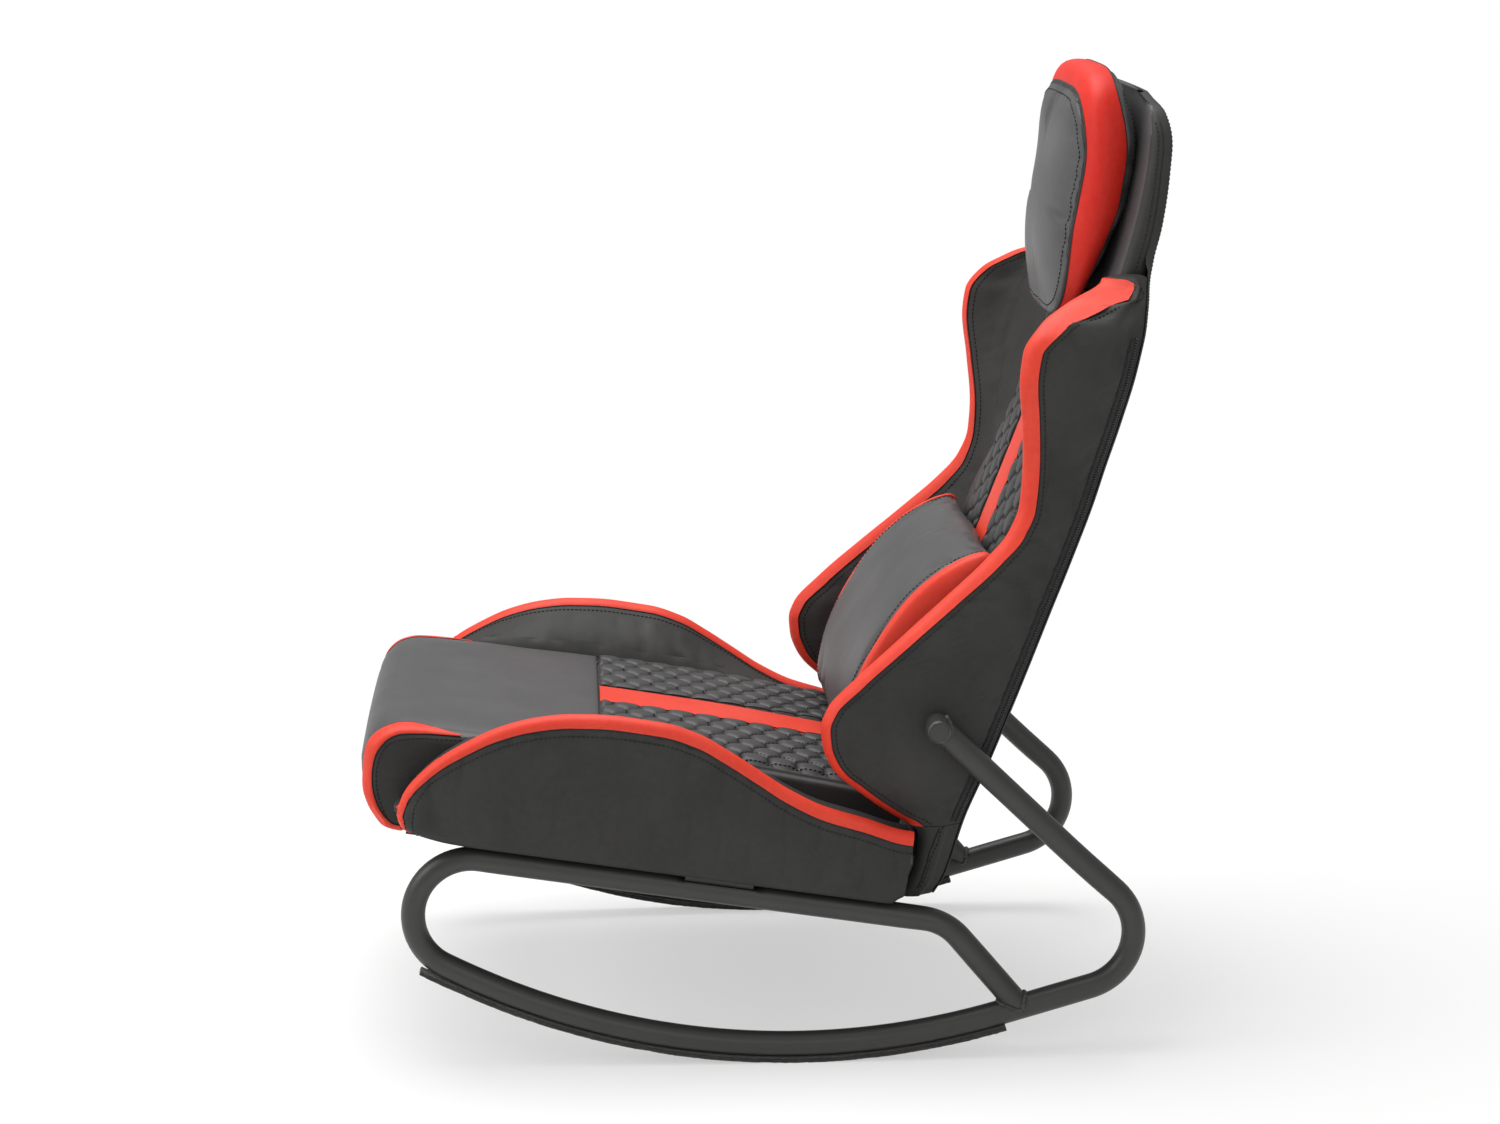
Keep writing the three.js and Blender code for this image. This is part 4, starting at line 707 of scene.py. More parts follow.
def bead_ring(centre, way, host_way, radius, host_radius):
    """Wavy bead round a tube that stands on another one."""
    way, host_way = way / np.linalg.norm(way), host_way / np.linalg.norm(host_way)
    first = host_way - way * (host_way @ way)
    first /= np.linalg.norm(first)
    second = np.cross(way, first)
    angles = np.arange(BEAD_RINGS) / BEAD_RINGS * 2 * math.pi
    foot = radius * (np.cos(angles)[:, None] * first + np.sin(angles)[:, None] * second)
    beside = np.cross(host_way, way)
    side_off = foot @ beside / np.linalg.norm(beside)
    lift = np.sqrt(np.maximum(host_radius ** 2 - side_off ** 2, 0))
    slant = math.sqrt(1 - (way @ host_way) ** 2)
    travel = (lift + (foot @ first) * (way @ host_way)) / slant
    ring = centre + foot + way * travel[:, None]
    out = foot / radius
    rows = []
    turn = np.arange(BEAD_SIDES) / BEAD_SIDES * 2 * math.pi
    for i in range(BEAD_RINGS):
        wave = BEAD * (1 + BEAD_WAVE * math.sin(i * 2.4))
        rows.append(ring[i] + wave * (np.cos(turn)[:, None] * out[i] + np.sin(turn)[:, None] * way))
    return rows


def closed_ring_mesh(rows):
    """Quads between rings that follow each other round in a loop."""
    count, total = len(rows[0]), len(rows)
    points = np.concatenate(rows)
    faces = []
    for row in range(total):
        a, b = row * count, (row + 1) % total * count
        faces += [[a + i, a + (i + 1) % count, b + (i + 1) % count, b + i] for i in range(count)]
    return outward_faces(points, faces)


TURNED_SIDES = 40
SLEEVE_PROFILE = [(8.5, 226), (11, 222), (11, 223), (11, 282), (10.6, 283), (8.5, 283)]
CAP_PROFILE = [
    (10.5, 266), (11.6, 268), (11.6, 286.5), (11.1, 288.6), (9.9, 289.6), (9.3, 288.8), (8.0, 288.9)]
TOP_DOME = (1.35, 1.0, 0.65, 0.3)


def turned(side, profile, place):
    """Round body about an axis across the chair, from a profile of [radius, place across]."""
    angles = np.arange(TURNED_SIDES) / TURNED_SIDES * 2 * math.pi
    rows = []
    for radius, x in profile:
        rows.append(np.column_stack([np.full(TURNED_SIDES, side * x), place[0] + radius * np.cos(angles),
                                     place[1] + radius * np.sin(angles)]))
    return rows


def joined(*meshes):
    """Several closed meshes as one piece."""
    points, faces, count = [], [], 0
    for part_points, part_faces in meshes:
        points.append(part_points)
        faces += [[i + count for i in face] for face in part_faces]
        count += len(part_points)
    return np.concatenate(points), faces


def side_frame(side):
    path = side_path(side)
    tube = swept(path)
    way = path[0] - path[1]
    way /= np.linalg.norm(way)
    dome = [path[0] + way * TUBE_RADIUS * 0.8 * math.sin(turn) + (tube[0] - path[0]) * math.cos(turn)
            for turn in TOP_DOME]
    cap = turned(side, CAP_PROFILE, SLEEVE_END)
    sleeve = turned(side, SLEEVE_PROFILE, SLEEVE_PLACE)
    weld = bead_ring(np.array([side * TUBE_SIDE, *weld_place]), np.array([0, *leg_way]) * -1,
                     np.array([0, *tail_way]), TUBE_RADIUS, TUBE_RADIUS)
    top_weld = bead_ring(path[0], way * -1, np.array([1.0, 0, 0]), TUBE_RADIUS * 0.97, 11.2)
    return joined(grid_mesh([*dome, *tube]), grid_mesh(sleeve), grid_mesh(cap),
                  closed_ring_mesh(weld), closed_ring_mesh(top_weld))


for word, side in SIDES:
    add_piece(f"{word}_tube", side_frame(side), tube_paint,
              replaces=[f"{word}_side_frame"])
print("two side frames of", TUBE_SIDES, "sides")

# %% [markdown]
# ## Felt strips
# A strip of dense felt is glued under each runner so that the chair rolls quietly. It is a soft,
# slightly lumpy bar, and loose fibres stand out along its edges.

# %% Felt strips
FELT_WIDTH = 20.0
FELT_START, FELT_END = -6.5 * STEP, 3.5 * STEP
FELT_ROWS = 260
FELT_CURL, CURL_ROWS = 2.2, 22
LUMP_SPREAD, SIDE_LUMP, UNDER_LUMP = 9, 0.5, 0.2
FUZZ_ACROSS, FUZZ_DOWN = 0.25, 0.1


def felt_strip(side):
    rng = np.random.default_rng(5 + side)
    rough = rng.normal(0, 1, FELT_ROWS + LUMP_SPREAD - 1)
    lumps = np.convolve(rough, np.ones(LUMP_SPREAD) / LUMP_SPREAD, "valid")
    rows = []
    for i, angle in enumerate(np.linspace(FELT_START, FELT_END, FELT_ROWS)):
        lift = FELT_CURL * max(0, 1 - i / CURL_ROWS) ** 2
        half, inner = FELT_WIDTH / 2 - 0.3 + SIDE_LUMP * lumps[i], ROCKER - FELT_THICKNESS
        outer = ROCKER - FUZZ_ACROSS + UNDER_LUMP * min(lumps[i], 0)
        corners = [(-half, outer + lift), (half, outer + lift), (half, inner + lift), (-half, inner + lift)]
        section = rounded(corners, [1.8] * 4, [5, 1, 5, 1])
        section[:, 0] += FUZZ_ACROSS * rng.normal(0, 1, len(section))
        radius = np.minimum(section[:, 1] - FUZZ_DOWN * np.abs(rng.normal(0, 1, len(section))), ROCKER)
        rows.append(np.column_stack([side * TUBE_SIDE + section[:, 0], radius * math.sin(angle),
                                     ROCKER_CENTRE[1] - radius * math.cos(angle)]))
    return loft_mesh(rows, 0.6, 0.6)


for word, side in SIDES:
    add_piece(f"{word}_felt", felt_strip(side), felt_look, replaces=[f"{word}_felt_strip"])
print("felt strips")

# %% [markdown]
# ## Seat cushion
# The seat is a board with foam on it, in a cover of three sorts of panel: a plain front that rolls over the
# nose, two quilted fields, and a red stripe between them. The plain front is drawn in a lighter copy of the
# black leather, which paints its sheen. The quilting is sewn in regular hexagons, so every cell is a small
# dome with sharp valleys round it. A bump map would show no outline, so the domes are real: the grid is fine
# enough to carry them.

# %% Sizes and tables of the seat
SEAT_FRONT, SEAT_REAR, NOSE_TIP, BOLSTER_REAR = -452.0, 94.0, -446.0, 100.0
SEAT_LENGTH = SEAT_REAR - SEAT_FRONT
BOARD_FRONT, BOARD_HALF = -392.0, 235.0
FOAM_BOTTOM = TUBE_RADIUS + 12 + 3 * SEATED
CROWN, NOSE_HALF = 120.0, 203.0
CROWN_DROP, EDGE_DROP, EDGE_ROUND, BACK_ROUND = 1.5, 3.0, 16.0, 7.0
SEAT_HALF, CREST = 264.0, 166.0
QUILT_FRONT = -214.0
STRIPE_HALF = 33.0
HEX_PITCH, HEX_ROW, HEX_DEPTH = 28.5, 24.7, 4.8
FIELD_EDGE = 176.0
QUILT_START = STRIPE_HALF + 7

cushion_top_table = smooth([
    [0.011, 0.65], [0.0125, 0.7], [0.0211, 0.78], [0.033, 0.845], [0.0458, 0.89], [0.0751, 0.94],
    [0.11, 0.955], [0.187, 0.967], [0.278, 0.983], [0.436, 1], [0.645, 0.992],
    [0.828, 0.958], [0.938, 0.933], [1, 0.9]])
cushion_half_table = smooth([
    [0.011, 0.86], [0.0147, 0.91], [0.0201, 0.945], [0.0293, 0.98], [0.044, 1], [0.187, 1],
    [0.3, 0.937], [1, 0.937]])
nose_table = smooth([
    [0.011, 0.53], [0.0125, 0.5], [0.0156, 0.455], [0.0275, 0.3], [0.0476, 0.16], [0.0722, 0.06],
    [0.095, 0.045]])
skirt_table = smooth([
    [0.092, 0.14], [0.099, 0.085], [0.115, 0.05], [0.152, 0.02], [0.19, 0.006], [0.249, 0], [1, 0]])
crest_table = smooth([
    [0.092, 0.275], [0.099, 0.36], [0.115, 0.46], [0.152, 0.608], [0.19, 0.711], [0.249, 0.839],
    [0.31, 0.924], [0.372, 0.973], [0.462, 1], [0.535, 0.997], [0.599, 0.96], [0.654, 0.888],
    [0.714, 0.796], [0.777, 0.699], [0.846, 0.626], [0.919, 0.59], [1, 0.547]])


def seat_share(place):
    return (place - SEAT_FRONT) / SEAT_LENGTH


def cushion_top(place):
    return CROWN * cushion_top_table(seat_share(place))


def cushion_half(place):
    return NOSE_HALF * cushion_half_table(seat_share(place))


def cushion_bottom(place):
    low = CROWN * nose_table(seat_share(place))
    return low + (FOAM_BOTTOM - low) * ease(place, BOARD_FRONT - 3, BOARD_FRONT)


# %% The hexagon quilting
FAR_OFF = 1e9
BORDER_WIDTH, BORDER_LIFT, DIP_WIDTH = 7.0, 0.45, 5.0


def hexagon_edge(across, along, first):
    """Distance in millimetres from the nearest line of stitching."""
    away = np.abs(across) - first
    nearest = np.full(np.shape(away), FAR_OFF)
    second = nearest.copy()
    middle = np.round(away / HEX_ROW)
    for row in (middle - 1, middle, middle + 1):
        shift = np.mod(row, 2) * HEX_PITCH / 2
        cell = np.round((along - shift) / HEX_PITCH)
        for column in (cell - 1, cell, cell + 1):
            distance = np.hypot(away - row * HEX_ROW, along - shift - column * HEX_PITCH)
            second = np.minimum(second, np.maximum(distance, nearest))
            nearest = np.minimum(nearest, distance)
    return (second - nearest) / 2


def quilt_puff(across, along, edge=FIELD_EDGE):
    """How high the quilting stands: steep domes that flatten off, lower at the field's borders."""
    share = np.clip(hexagon_edge(across, along, QUILT_START) / (HEX_ROW / 2), 0, 1)
    dome = 0.7 * (1 - (1 - share) ** 6) + 0.3 * (1 - (1 - share) ** 2)
    to_stripe = np.clip((np.abs(across) - STRIPE_HALF + 1) / DIP_WIDTH, 0, 1)
    to_edge = np.clip((edge - np.abs(across)) / DIP_WIDTH, 0, 1)
    border = np.clip((np.abs(across) - edge) / BORDER_WIDTH, 0, 1) * BORDER_LIFT
    return HEX_DEPTH * (dome * np.sqrt(to_stripe) * np.sqrt(to_edge) + border)


# %% The cushion's grid
QUILT_STEP, TOP_COLUMNS = 1.9, 190
ROUND_START, ROUND_END = -370.0, -295.0
SEAM_DIP, PLAIN_LIFT = 3.0, 2.6
WALL_SWELL, LIP = 2.5, 4.0


def edge_round(place):
    return EDGE_ROUND + (BACK_ROUND - EDGE_ROUND) * float(ease(place, ROUND_START, ROUND_END))


def cushion_outline(place):
    half, bottom, top = float(cushion_half(place)), float(cushion_bottom(place)), float(cushion_top(place))
    fullness = min(1.0, (top - bottom) / (5 * EDGE_ROUND))
    side_top = top - CROWN_DROP - EDGE_DROP
    wide = edge_round(place)
    deep = wide * 0.8 * fullness
    side = rounded_side(half, bottom, side_top, wide, deep)
    across = np.linspace(half - wide, wide - half, TOP_COLUMNS)
    share = np.abs(across) / (half - wide)
    height = top - CROWN_DROP * share ** 2 - EDGE_DROP * share ** 10
    if place > QUILT_FRONT:
        depth = ease(place, QUILT_FRONT, QUILT_FRONT + 3.5)
        height = height + depth * quilt_puff(across, place - QUILT_FRONT)
    else:
        height = height + PLAIN_LIFT * (1 - np.exp((place - QUILT_FRONT) / SEAM_DIP)) * (1 - share ** 10)
    top_line = np.column_stack([across, height])
    mirrored = side[::-1] * [-1, 1]
    outline = np.concatenate([side, top_line, mirrored])
    return np.column_stack([outline[:, 0], np.full(len(outline), place), outline[:, 1]])


def rounded_side(half, bottom, side_top, wide, deep):
    """Underside, wall and rounded upper edge on the left, from the middle outwards and up."""
    wall_top = side_top - deep
    lip = min(LIP, (wall_top - bottom) / 4)
    t = np.linspace(0, 1, 10)
    wall = np.column_stack([half - WALL_SWELL + WALL_SWELL * np.sin(t * math.pi * 0.6),
                            bottom + lip + (wall_top - bottom - lip) * t])
    wall[:, 0] += (half - wall[-1, 0]) * t
    under = np.column_stack([np.linspace(half * 0.5, half - 8, 5), np.full(5, bottom)])
    heel = np.array([[half - 4.2, bottom + lip * 0.2]])
    turn = np.linspace(0, math.pi / 2, 9)[1:-1]
    arc = np.column_stack([half - wide + wide * np.cos(turn), wall_top + deep * np.sin(turn)])
    return np.concatenate([under, heel, wall, arc])


NOSE_ROWS, FRONT_ROWS = 34, 30
SEAM_ROWS = np.array([-4, -2.5, -1.2, -0.3, 0.5, 1.6])


def seat_cushion_rows():
    nose = NOSE_TIP + (BOARD_FRONT - NOSE_TIP) * np.linspace(0, 1, NOSE_ROWS) ** 1.8
    front = np.linspace(BOARD_FRONT, QUILT_FRONT - 6, FRONT_ROWS)[1:]
    seam = QUILT_FRONT + SEAM_ROWS
    field = np.arange(QUILT_FRONT + QUILT_STEP, SEAT_REAR, QUILT_STEP)
    places = np.concatenate([nose, front, seam, field, [SEAT_REAR]])
    return [cushion_outline(place) for place in places]


LOOKS_UP, LOOKS_SIDEWAYS, SIDE_PANEL = 0.2, 0.72, 198.0
cushion_mesh = loft_mesh([turn_seat(row) for row in seat_cushion_rows()], 3.0, 0.0)
# The cover is drawn in the lighter leather that paints sheen on faces that look up. Below, the quilted
# field's upward faces get the quilted leather. Faces that look sideways or rearward, and the side panels, go
# back to the black.
seat_cushion = add_piece("seat_cushion_cover", cushion_mesh, charcoal_leather,
                         replaces=["seat_cushion"], sharp=60)
seam_depth = turn_seat([(0, QUILT_FRONT, CROWN)])[0][1]
paint(seat_cushion, quilted_leather, lambda place, way: place.y > seam_depth and way.z > LOOKS_UP)
paint(seat_cushion, black_leather,
      lambda place, way: max(abs(way.x), way.y) > LOOKS_SIDEWAYS or abs(place.x) > SIDE_PANEL)
print("seat cushion:", len(seat_cushion.data.polygons), "faces")

# %% The red stripe on the seat
STRIPE_LIFT, STRIPE_EDGE, STRIPE_SUNK, STRIPE_STEP = 2.4, 0.25, 1.0, 6.0
STRIPE_PLACES = np.array([-32.8, -32.3, -30.5, -27, -18, -9, 0, 9, 18, 27, 30.5, 32.3, 32.8])


def stripe_rows(places, surface):
    """Outlines of a stripe that lies crowned on a surface and is sunk a little into it."""
    rows = []
    for place in places:
        crown = 1 - (np.abs(STRIPE_PLACES) / STRIPE_HALF) ** 6
        top = surface(place, STRIPE_PLACES) + SEATED + STRIPE_LIFT * (STRIPE_EDGE + (1 - STRIPE_EDGE) * crown)
        under = surface(place, STRIPE_PLACES[::-1]) - STRIPE_SUNK
        across = np.concatenate([STRIPE_PLACES, STRIPE_PLACES[::-1]])
        rows.append(np.column_stack([across, np.full(len(across), place), np.concatenate([top, under])]))
    return rows


def seat_surface(place, across):
    return cushion_top(place) - CROWN_DROP * (across / (cushion_half(place) - BACK_ROUND)) ** 2


seat_stripe = stripe_rows(np.arange(QUILT_FRONT + 0.5, SEAT_REAR - 3, STRIPE_STEP), seat_surface)
add_piece("seat_stripe_cover", loft_mesh([turn_seat(row) for row in seat_stripe]), red_leather,
          replaces=["seat_stripe"])
print("seat stripe")

# %% [markdown]
# ## Seat bolsters
# A foam block stands on each side of the seat, with a black panel outside and inside and a red
# band sewn over its crest. The band is a strip of its own, laid on the bolster's own columns, so
# that it follows the crest exactly; its two edges dip in where the seams pull.

# %% Bolsters and their red bands
CREST_INSET, CREST_ROUND, SKIRT = 8.0, 11.0, 14.0
BOLSTER_FRONT, BAND_START = -402.0, -386.0
BAND, BAND_EDGE, BAND_SUNK, BAND_COLUMNS = 2.3, 0.2, 1.2, 15
LAID_BAND = BAND * 0.75
FLANK, FLANK_SWELL = 6.0, 3.0
BOLSTER_STEP = 6.0


def skirt_height(place):
    return SKIRT + CREST * float(skirt_table(seat_share(place)))


def crest_line(place):
    """The bolster's crest as (across, above) points, from the outer flank over to the inner one."""
    crest = CREST * float(crest_table(seat_share(place))) - BAND
    drop = min(CREST_ROUND, (crest - skirt_height(place)) / 2)
    inset = CREST_ROUND * max(0.0, 1 - (place - BOLSTER_FRONT) / (2 * CREST_ROUND)) ** 2
    outer = SEAT_HALF - inset
    middle = outer - CREST_INSET
    return np.array([[outer, crest - drop * 1.5], [outer, crest - drop],
                     [outer - CREST_INSET / 4, crest - drop / 3], [middle, crest],
                     [middle - CREST_ROUND * 0.5, crest - drop * 0.15],
                     [middle - CREST_ROUND, crest - drop * 0.45]])


BOLSTER_RADII = [2, 2, 2, 9, 20, 4, 4, 4, 4, 6, 30, 12]
BOLSTER_RUNS = [2, 1, 2, 9, 1, 1, 1, 1, 1, 4, 5, 4]


def bolster_outline(place, side):
    line = crest_line(place)
    outer = line[1][0]
    inner, shoulder = line[5]
    base = float(cushion_half(place)) + 0.5
    seam = min(float(cushion_top(place)) - CROWN_DROP - EDGE_DROP, shoulder - 3)
    board = min(BOARD_HALF + 0.5, outer - 8)
    heel = skirt_height(place) + 9 * float(ease(place, BOLSTER_REAR - 16, BOLSTER_REAR)) ** 2
    under = max(FOAM_BOTTOM + 0.2, heel)
    corners = [[base, under], [board, under + 0.1], [board + 0.5, heel], [outer - 0.5, heel], *line,
               [base + (inner - base) * 0.4, (seam + shoulder) / 2], [base, seam]]
    section = rounded(corners, BOLSTER_RADII, BOLSTER_RUNS)
    wall = section[:, 0] > outer - FLANK
    low, high = heel, line[0][1]
    swell = np.sin(np.clip((section[:, 1] - low) / max(high - low, 1), 0, 1) * math.pi)
    section[:, 0] += np.where(wall, FLANK_SWELL * swell, 0)
    return np.column_stack([side * section[:, 0], np.full(len(section), place), section[:, 1]])


def laid_band(line):
    """A strip over a line of [across, other] points: full in the middle, dipping in at its edges."""
    fine = fine_line(line)
    way = np.gradient(fine, axis=0)
    way /= np.linalg.norm(way, axis=1)[:, None]
    normal = np.column_stack([way[:, 1], -way[:, 0]])
    share = np.linspace(-1, 1, len(fine))
    lift = BAND_EDGE + (LAID_BAND - BAND_EDGE) * (1 - np.abs(share) ** 5)
    return np.concatenate([fine + normal * lift[:, None], (fine - normal * BAND_SUNK)[::-1]])


def fine_line(line):
    """Points evenly spaced along a rounded line through the given ones."""
    line = np.asarray(line, float)
    points = []
    for i in range(len(line) - 1):
        before, after = line[max(i - 1, 0)], line[min(i + 2, len(line) - 1)]
        for t in np.linspace(0, 1, 6, endpoint=i == len(line) - 2):
            points.append(rounded_between(before, line[i], line[i + 1], after, t))
    return spaced(points, BAND_COLUMNS)


bolster_places = np.concatenate([
    BOLSTER_FRONT + 5 * BOLSTER_STEP * np.linspace(0, 1, 12) ** 1.6,
    np.arange(BOLSTER_FRONT + 6 * BOLSTER_STEP, BOLSTER_REAR - 2, BOLSTER_STEP), [BOLSTER_REAR]])


def band_rows(side):
    rows = []
    for place in bolster_places[bolster_places > BAND_START]:
        section = laid_band(crest_line(place)[1:])
        rows.append(np.column_stack([side * section[:, 0], np.full(len(section), place), section[:, 1]]))
    return rows


for word, side in SIDES:
    rows = [bolster_outline(place, side) for place in bolster_places]
    add_piece(f"{word}_bolster_cover", loft_mesh([turn_seat(row) for row in rows], 6.0, 0.0), black_leather,
              replaces=[f"{word}_seat_bolster"], sharp=55)
    band = [turn_seat(row) for row in band_rows(side)]
    add_piece(f"{word}_bolster_band", loft_mesh(band, 3.0, 0.0), red_leather,
              replaces=[f"{word}_seat_band"])
print("two bolsters with bands")

# %% [markdown]
# ## The back
# The back is a tall padded panel that widens into a head section, with a wing on each side that
# swells forward at the waist and the shoulders. Its outlines are level slices, written as shares
# of the back's height and depth, so one set of tables shapes the pad, the wings and their bands.

# %% Sizes and tables of the back
BACK_BOTTOM, BACK_TOP, BACK_DEPTH = 160.0, 948.0, 371.0
BACK_LEAN = math.radians(21.2)
BACK_HEIGHT = BACK_TOP - BACK_BOTTOM
COVER, REAR_CROWN, PAD_WIDTH, WING_SPACING, SHOULDER = 3.0, 5.0, 344.0, 472.0, 13.0
BACK_QUILT_LOW, QUILTED_RUN = 452.0, 308.0
BACK_QUILT_HIGH = BACK_QUILT_LOW + QUILTED_RUN * math.cos(BACK_LEAN)
BACK_FIELD_EDGE = STRIPE_HALF + 96
CORNER_TOP, WING_TOP = BACK_BOTTOM + 0.097 * BACK_HEIGHT, BACK_BOTTOM + 0.777 * BACK_HEIGHT

tables = {
    "pad_front": [
        [0, 0.318], [0.114, 0.321], [0.165, 0.356], [0.392, 0.542], [0.558, 0.677], [0.685, 0.779],
        [0.812, 0.865], [0.876, 0.898], [0.939, 0.919], [0.977, 0.926], [1, 0.931]],
    "rear": [
        [0, 0.378], [0.012, 0.396], [0.03, 0.415], [0.114, 0.475], [0.305, 0.63], [0.508, 0.803],
        [0.629, 0.873], [0.754, 0.935], [0.84, 0.985], [0.9, 1.001], [0.938, 1.006], [0.9526, 1.003],
        [0.975, 0.991], [0.987, 0.978], [1, 0.956]],
    "crown": [[0, 0], [0.114, 1], [0.9, 1], [1, 0.4]],
    "pad_half": [
        [0, 1], [0.431, 1], [0.508, 0.826], [0.571, 0.767], [0.685, 0.767], [0.73, 0.802],
        [0.782, 0.959], [0.888, 0.965], [0.945, 0.93], [0.98, 0.826], [1, 0.651]],
    "wing_front": [
        [0, 0.268], [0.02, 0.292], [0.042, 0.308], [0.085, 0.318], [0.0952, 0.301], [0.1129, 0.243],
        [0.1284, 0.198], [0.1495, 0.144], [0.168, 0.1], [0.1853, 0.076], [0.2069, 0.06], [0.23, 0.056],
        [0.254, 0.073], [0.288, 0.14], [0.345, 0.275], [0.391, 0.388], [0.437, 0.496], [0.47, 0.555],
        [0.504, 0.582], [0.549, 0.588], [0.607, 0.58], [0.662, 0.569], [0.697, 0.577], [0.73, 0.625],
        [0.753, 0.701], [0.777, 0.8]],
    "wing_edge": [
        [0, 0.869], [0.114, 0.941], [0.178, 0.992], [0.228, 1], [0.305, 0.992], [0.393, 0.941], [0.47, 0.903],
        [0.533, 0.898], [0.609, 0.958], [0.673, 1], [0.711, 0.992], [0.749, 0.898], [0.782, 0.763]],
}
curves = {name: smooth(table) for name, table in tables.items()}


def back_curve(name, height):
    return curves[name]((np.asarray(height, float) - BACK_BOTTOM) / BACK_HEIGHT)


def pad_front(height):
    return BACK_DEPTH * back_curve("pad_front", height)


def crown_at(height):
    return REAR_CROWN * back_curve("crown", height)


def rear_edge(height):
    return BACK_DEPTH * back_curve("rear", height) - crown_at(height)


def cover_inside(height):
    return rear_edge(height) - COVER - SEATED


def pad_half(height):
    return PAD_WIDTH / 2 * back_curve("pad_half", height)


def wing_edge(height):
    return WING_SPACING / 2 * back_curve("wing_edge", height)


def wing_front(height):
    return BACK_DEPTH * back_curve("wing_front", height)


def level(section, height):
    return np.column_stack([section[:, 0], section[:, 1], np.full(len(section), height)])


print(f"back {BACK_HEIGHT:.0f} mm tall, pad {PAD_WIDTH:.0f} mm wide")

# %% The back pad with its quilting and head section
PAD_COLUMNS, DISH = 132, 4.0
PAD_ROUND, HEAD_ROUND, HEAD_CURVE = 10.0, 20.0, 50.0
PAD_PLAIN_LIFT, PAD_SEAM_DIP, PAD_SEAM = 2.0, 3.0, 7.0


def quilt_fit(height):
    """How far the quilted field narrows where the pad does."""
    return min(1.0, (float(pad_half(height)) - PAD_SEAM) / BACK_FIELD_EDGE)


def pad_outline(height):
    half, front, rear = float(pad_half(height)), float(pad_front(height)), float(cover_inside(height)) - 0.5
    wide = PAD_ROUND + (HEAD_ROUND - PAD_ROUND) * float(ease(height, WING_TOP - 30, WING_TOP + 10))
    deep = min(1.3 * wide, (rear - front) * 0.45)
    flat = half - wide
    turn = np.linspace(0, math.pi / 2, 12)[:-1]
    dish = DISH * (flat / half) ** 2
    arc = np.column_stack([flat + wide * np.cos(turn), front + dish + deep * (1 - np.sin(turn))])
    wall = [[half - 16, rear], [half - 2, rear], [half, rear - 2], [half, (front + dish + deep + rear) / 2]]
    side = np.concatenate([wall, arc])
    across = np.linspace(flat, -flat, PAD_COLUMNS)
    depth = front + DISH * (across / half) ** 2
    along = (height - BACK_QUILT_LOW) / math.cos(BACK_LEAN)
    sewn = ease(height, BACK_QUILT_LOW, BACK_QUILT_LOW + PAD_SEAM_DIP)
    sewn *= 1 - ease(height, BACK_QUILT_HIGH - PAD_SEAM_DIP, BACK_QUILT_HIGH)
    puff = quilt_puff(across / quilt_fit(height), along, BACK_FIELD_EDGE)
    plain = PAD_PLAIN_LIFT
    for seam in (BACK_QUILT_LOW, BACK_QUILT_HIGH):
        plain *= 1 - np.exp(-np.abs(height - seam) / PAD_SEAM_DIP)
    depth = depth - puff * sewn - plain * (1 - sewn) * (1 - np.abs(across / flat) ** 6)
    section = np.concatenate([side, np.column_stack([across, depth]), side[::-1] * [-1, 1]])
    return level(section, height)


def back_pad_rows():
    lower = np.arange(BACK_BOTTOM, BACK_QUILT_LOW - 5, 8.0)
    field = np.arange(BACK_QUILT_LOW - 3, BACK_QUILT_HIGH + 3, QUILT_STEP * math.cos(BACK_LEAN))
    upper = np.arange(BACK_QUILT_HIGH + 5, BACK_TOP - HEAD_CURVE, 6.0)
    top = BACK_TOP - HEAD_CURVE + HEAD_CURVE * (1 - (1 - np.linspace(0, 1, 16)) ** 1.8)
    return [pad_outline(height) for height in np.concatenate([lower, field, upper, top])]


# The pad is drawn in the lighter leather that paints sheen on faces that look forward. Below, the quilted
# field's forward faces get the quilted leather. Faces that look aside, up or back go back to the black.
back_pad = add_piece("back_pad_cover", loft_mesh(back_pad_rows(), 0.0, 2.5), charcoal_leather,
                     replaces=["back_pad"], sharp=60)
LOOKS_FORWARD, LOOKS_ASIDE = -0.2, 0.45
paint(back_pad, quilted_leather,
      lambda place, way: way.y < LOOKS_FORWARD and BACK_QUILT_LOW < place.z < BACK_QUILT_HIGH)
paint(back_pad, black_leather, lambda place, way: abs(way.x) > LOOKS_ASIDE or way.y > LOOKS_FORWARD)


def back_surface(height, across):
    return pad_front(height) + DISH * (across / pad_half(height)) ** 2


def back_stripe_rows():
    heights = np.arange(BACK_QUILT_LOW + 0.5, BACK_QUILT_HIGH - 0.5, STRIPE_STEP)
    rows = stripe_rows(heights, lambda height, across: -back_surface(height, across))
    return [row[:, [0, 2, 1]] * [1, -1, 1] for row in rows]


add_piece("back_stripe_cover", loft_mesh(back_stripe_rows()), red_leather,
          replaces=["back_stripe"])
print("back pad:", len(back_pad.data.polygons), "faces")

# %% Wings, their red bands and the corner panels under them
WING_RADII = [3, 10, 24, 14, 4, 4, 4, 4, 5, 20, 5, 4]
WING_RUNS = [5, 3, 3, 2, 1, 1, 1, 1, 5, 6, 3, 3]
WING_TAPER, ZIP_WIDTH, BAND_ZONE = 12.0, 14.0, 22.0
BAND_ROOM, MOST_STRETCH = 0.7, 2.6
outer_width = smooth([
    [0.09, 7.5], [0.2, 7.5], [0.3, 8.5], [0.42, 10.5], [0.5, 13.5], [0.62, 14.5], [0.7, 15.5],
    [0.75, 19], [0.777, 23]])
inner_width = smooth([[0.09, 6], [0.2, 9], [0.42, 9], [0.5, 5], [0.62, 3], [0.777, 3.5]])


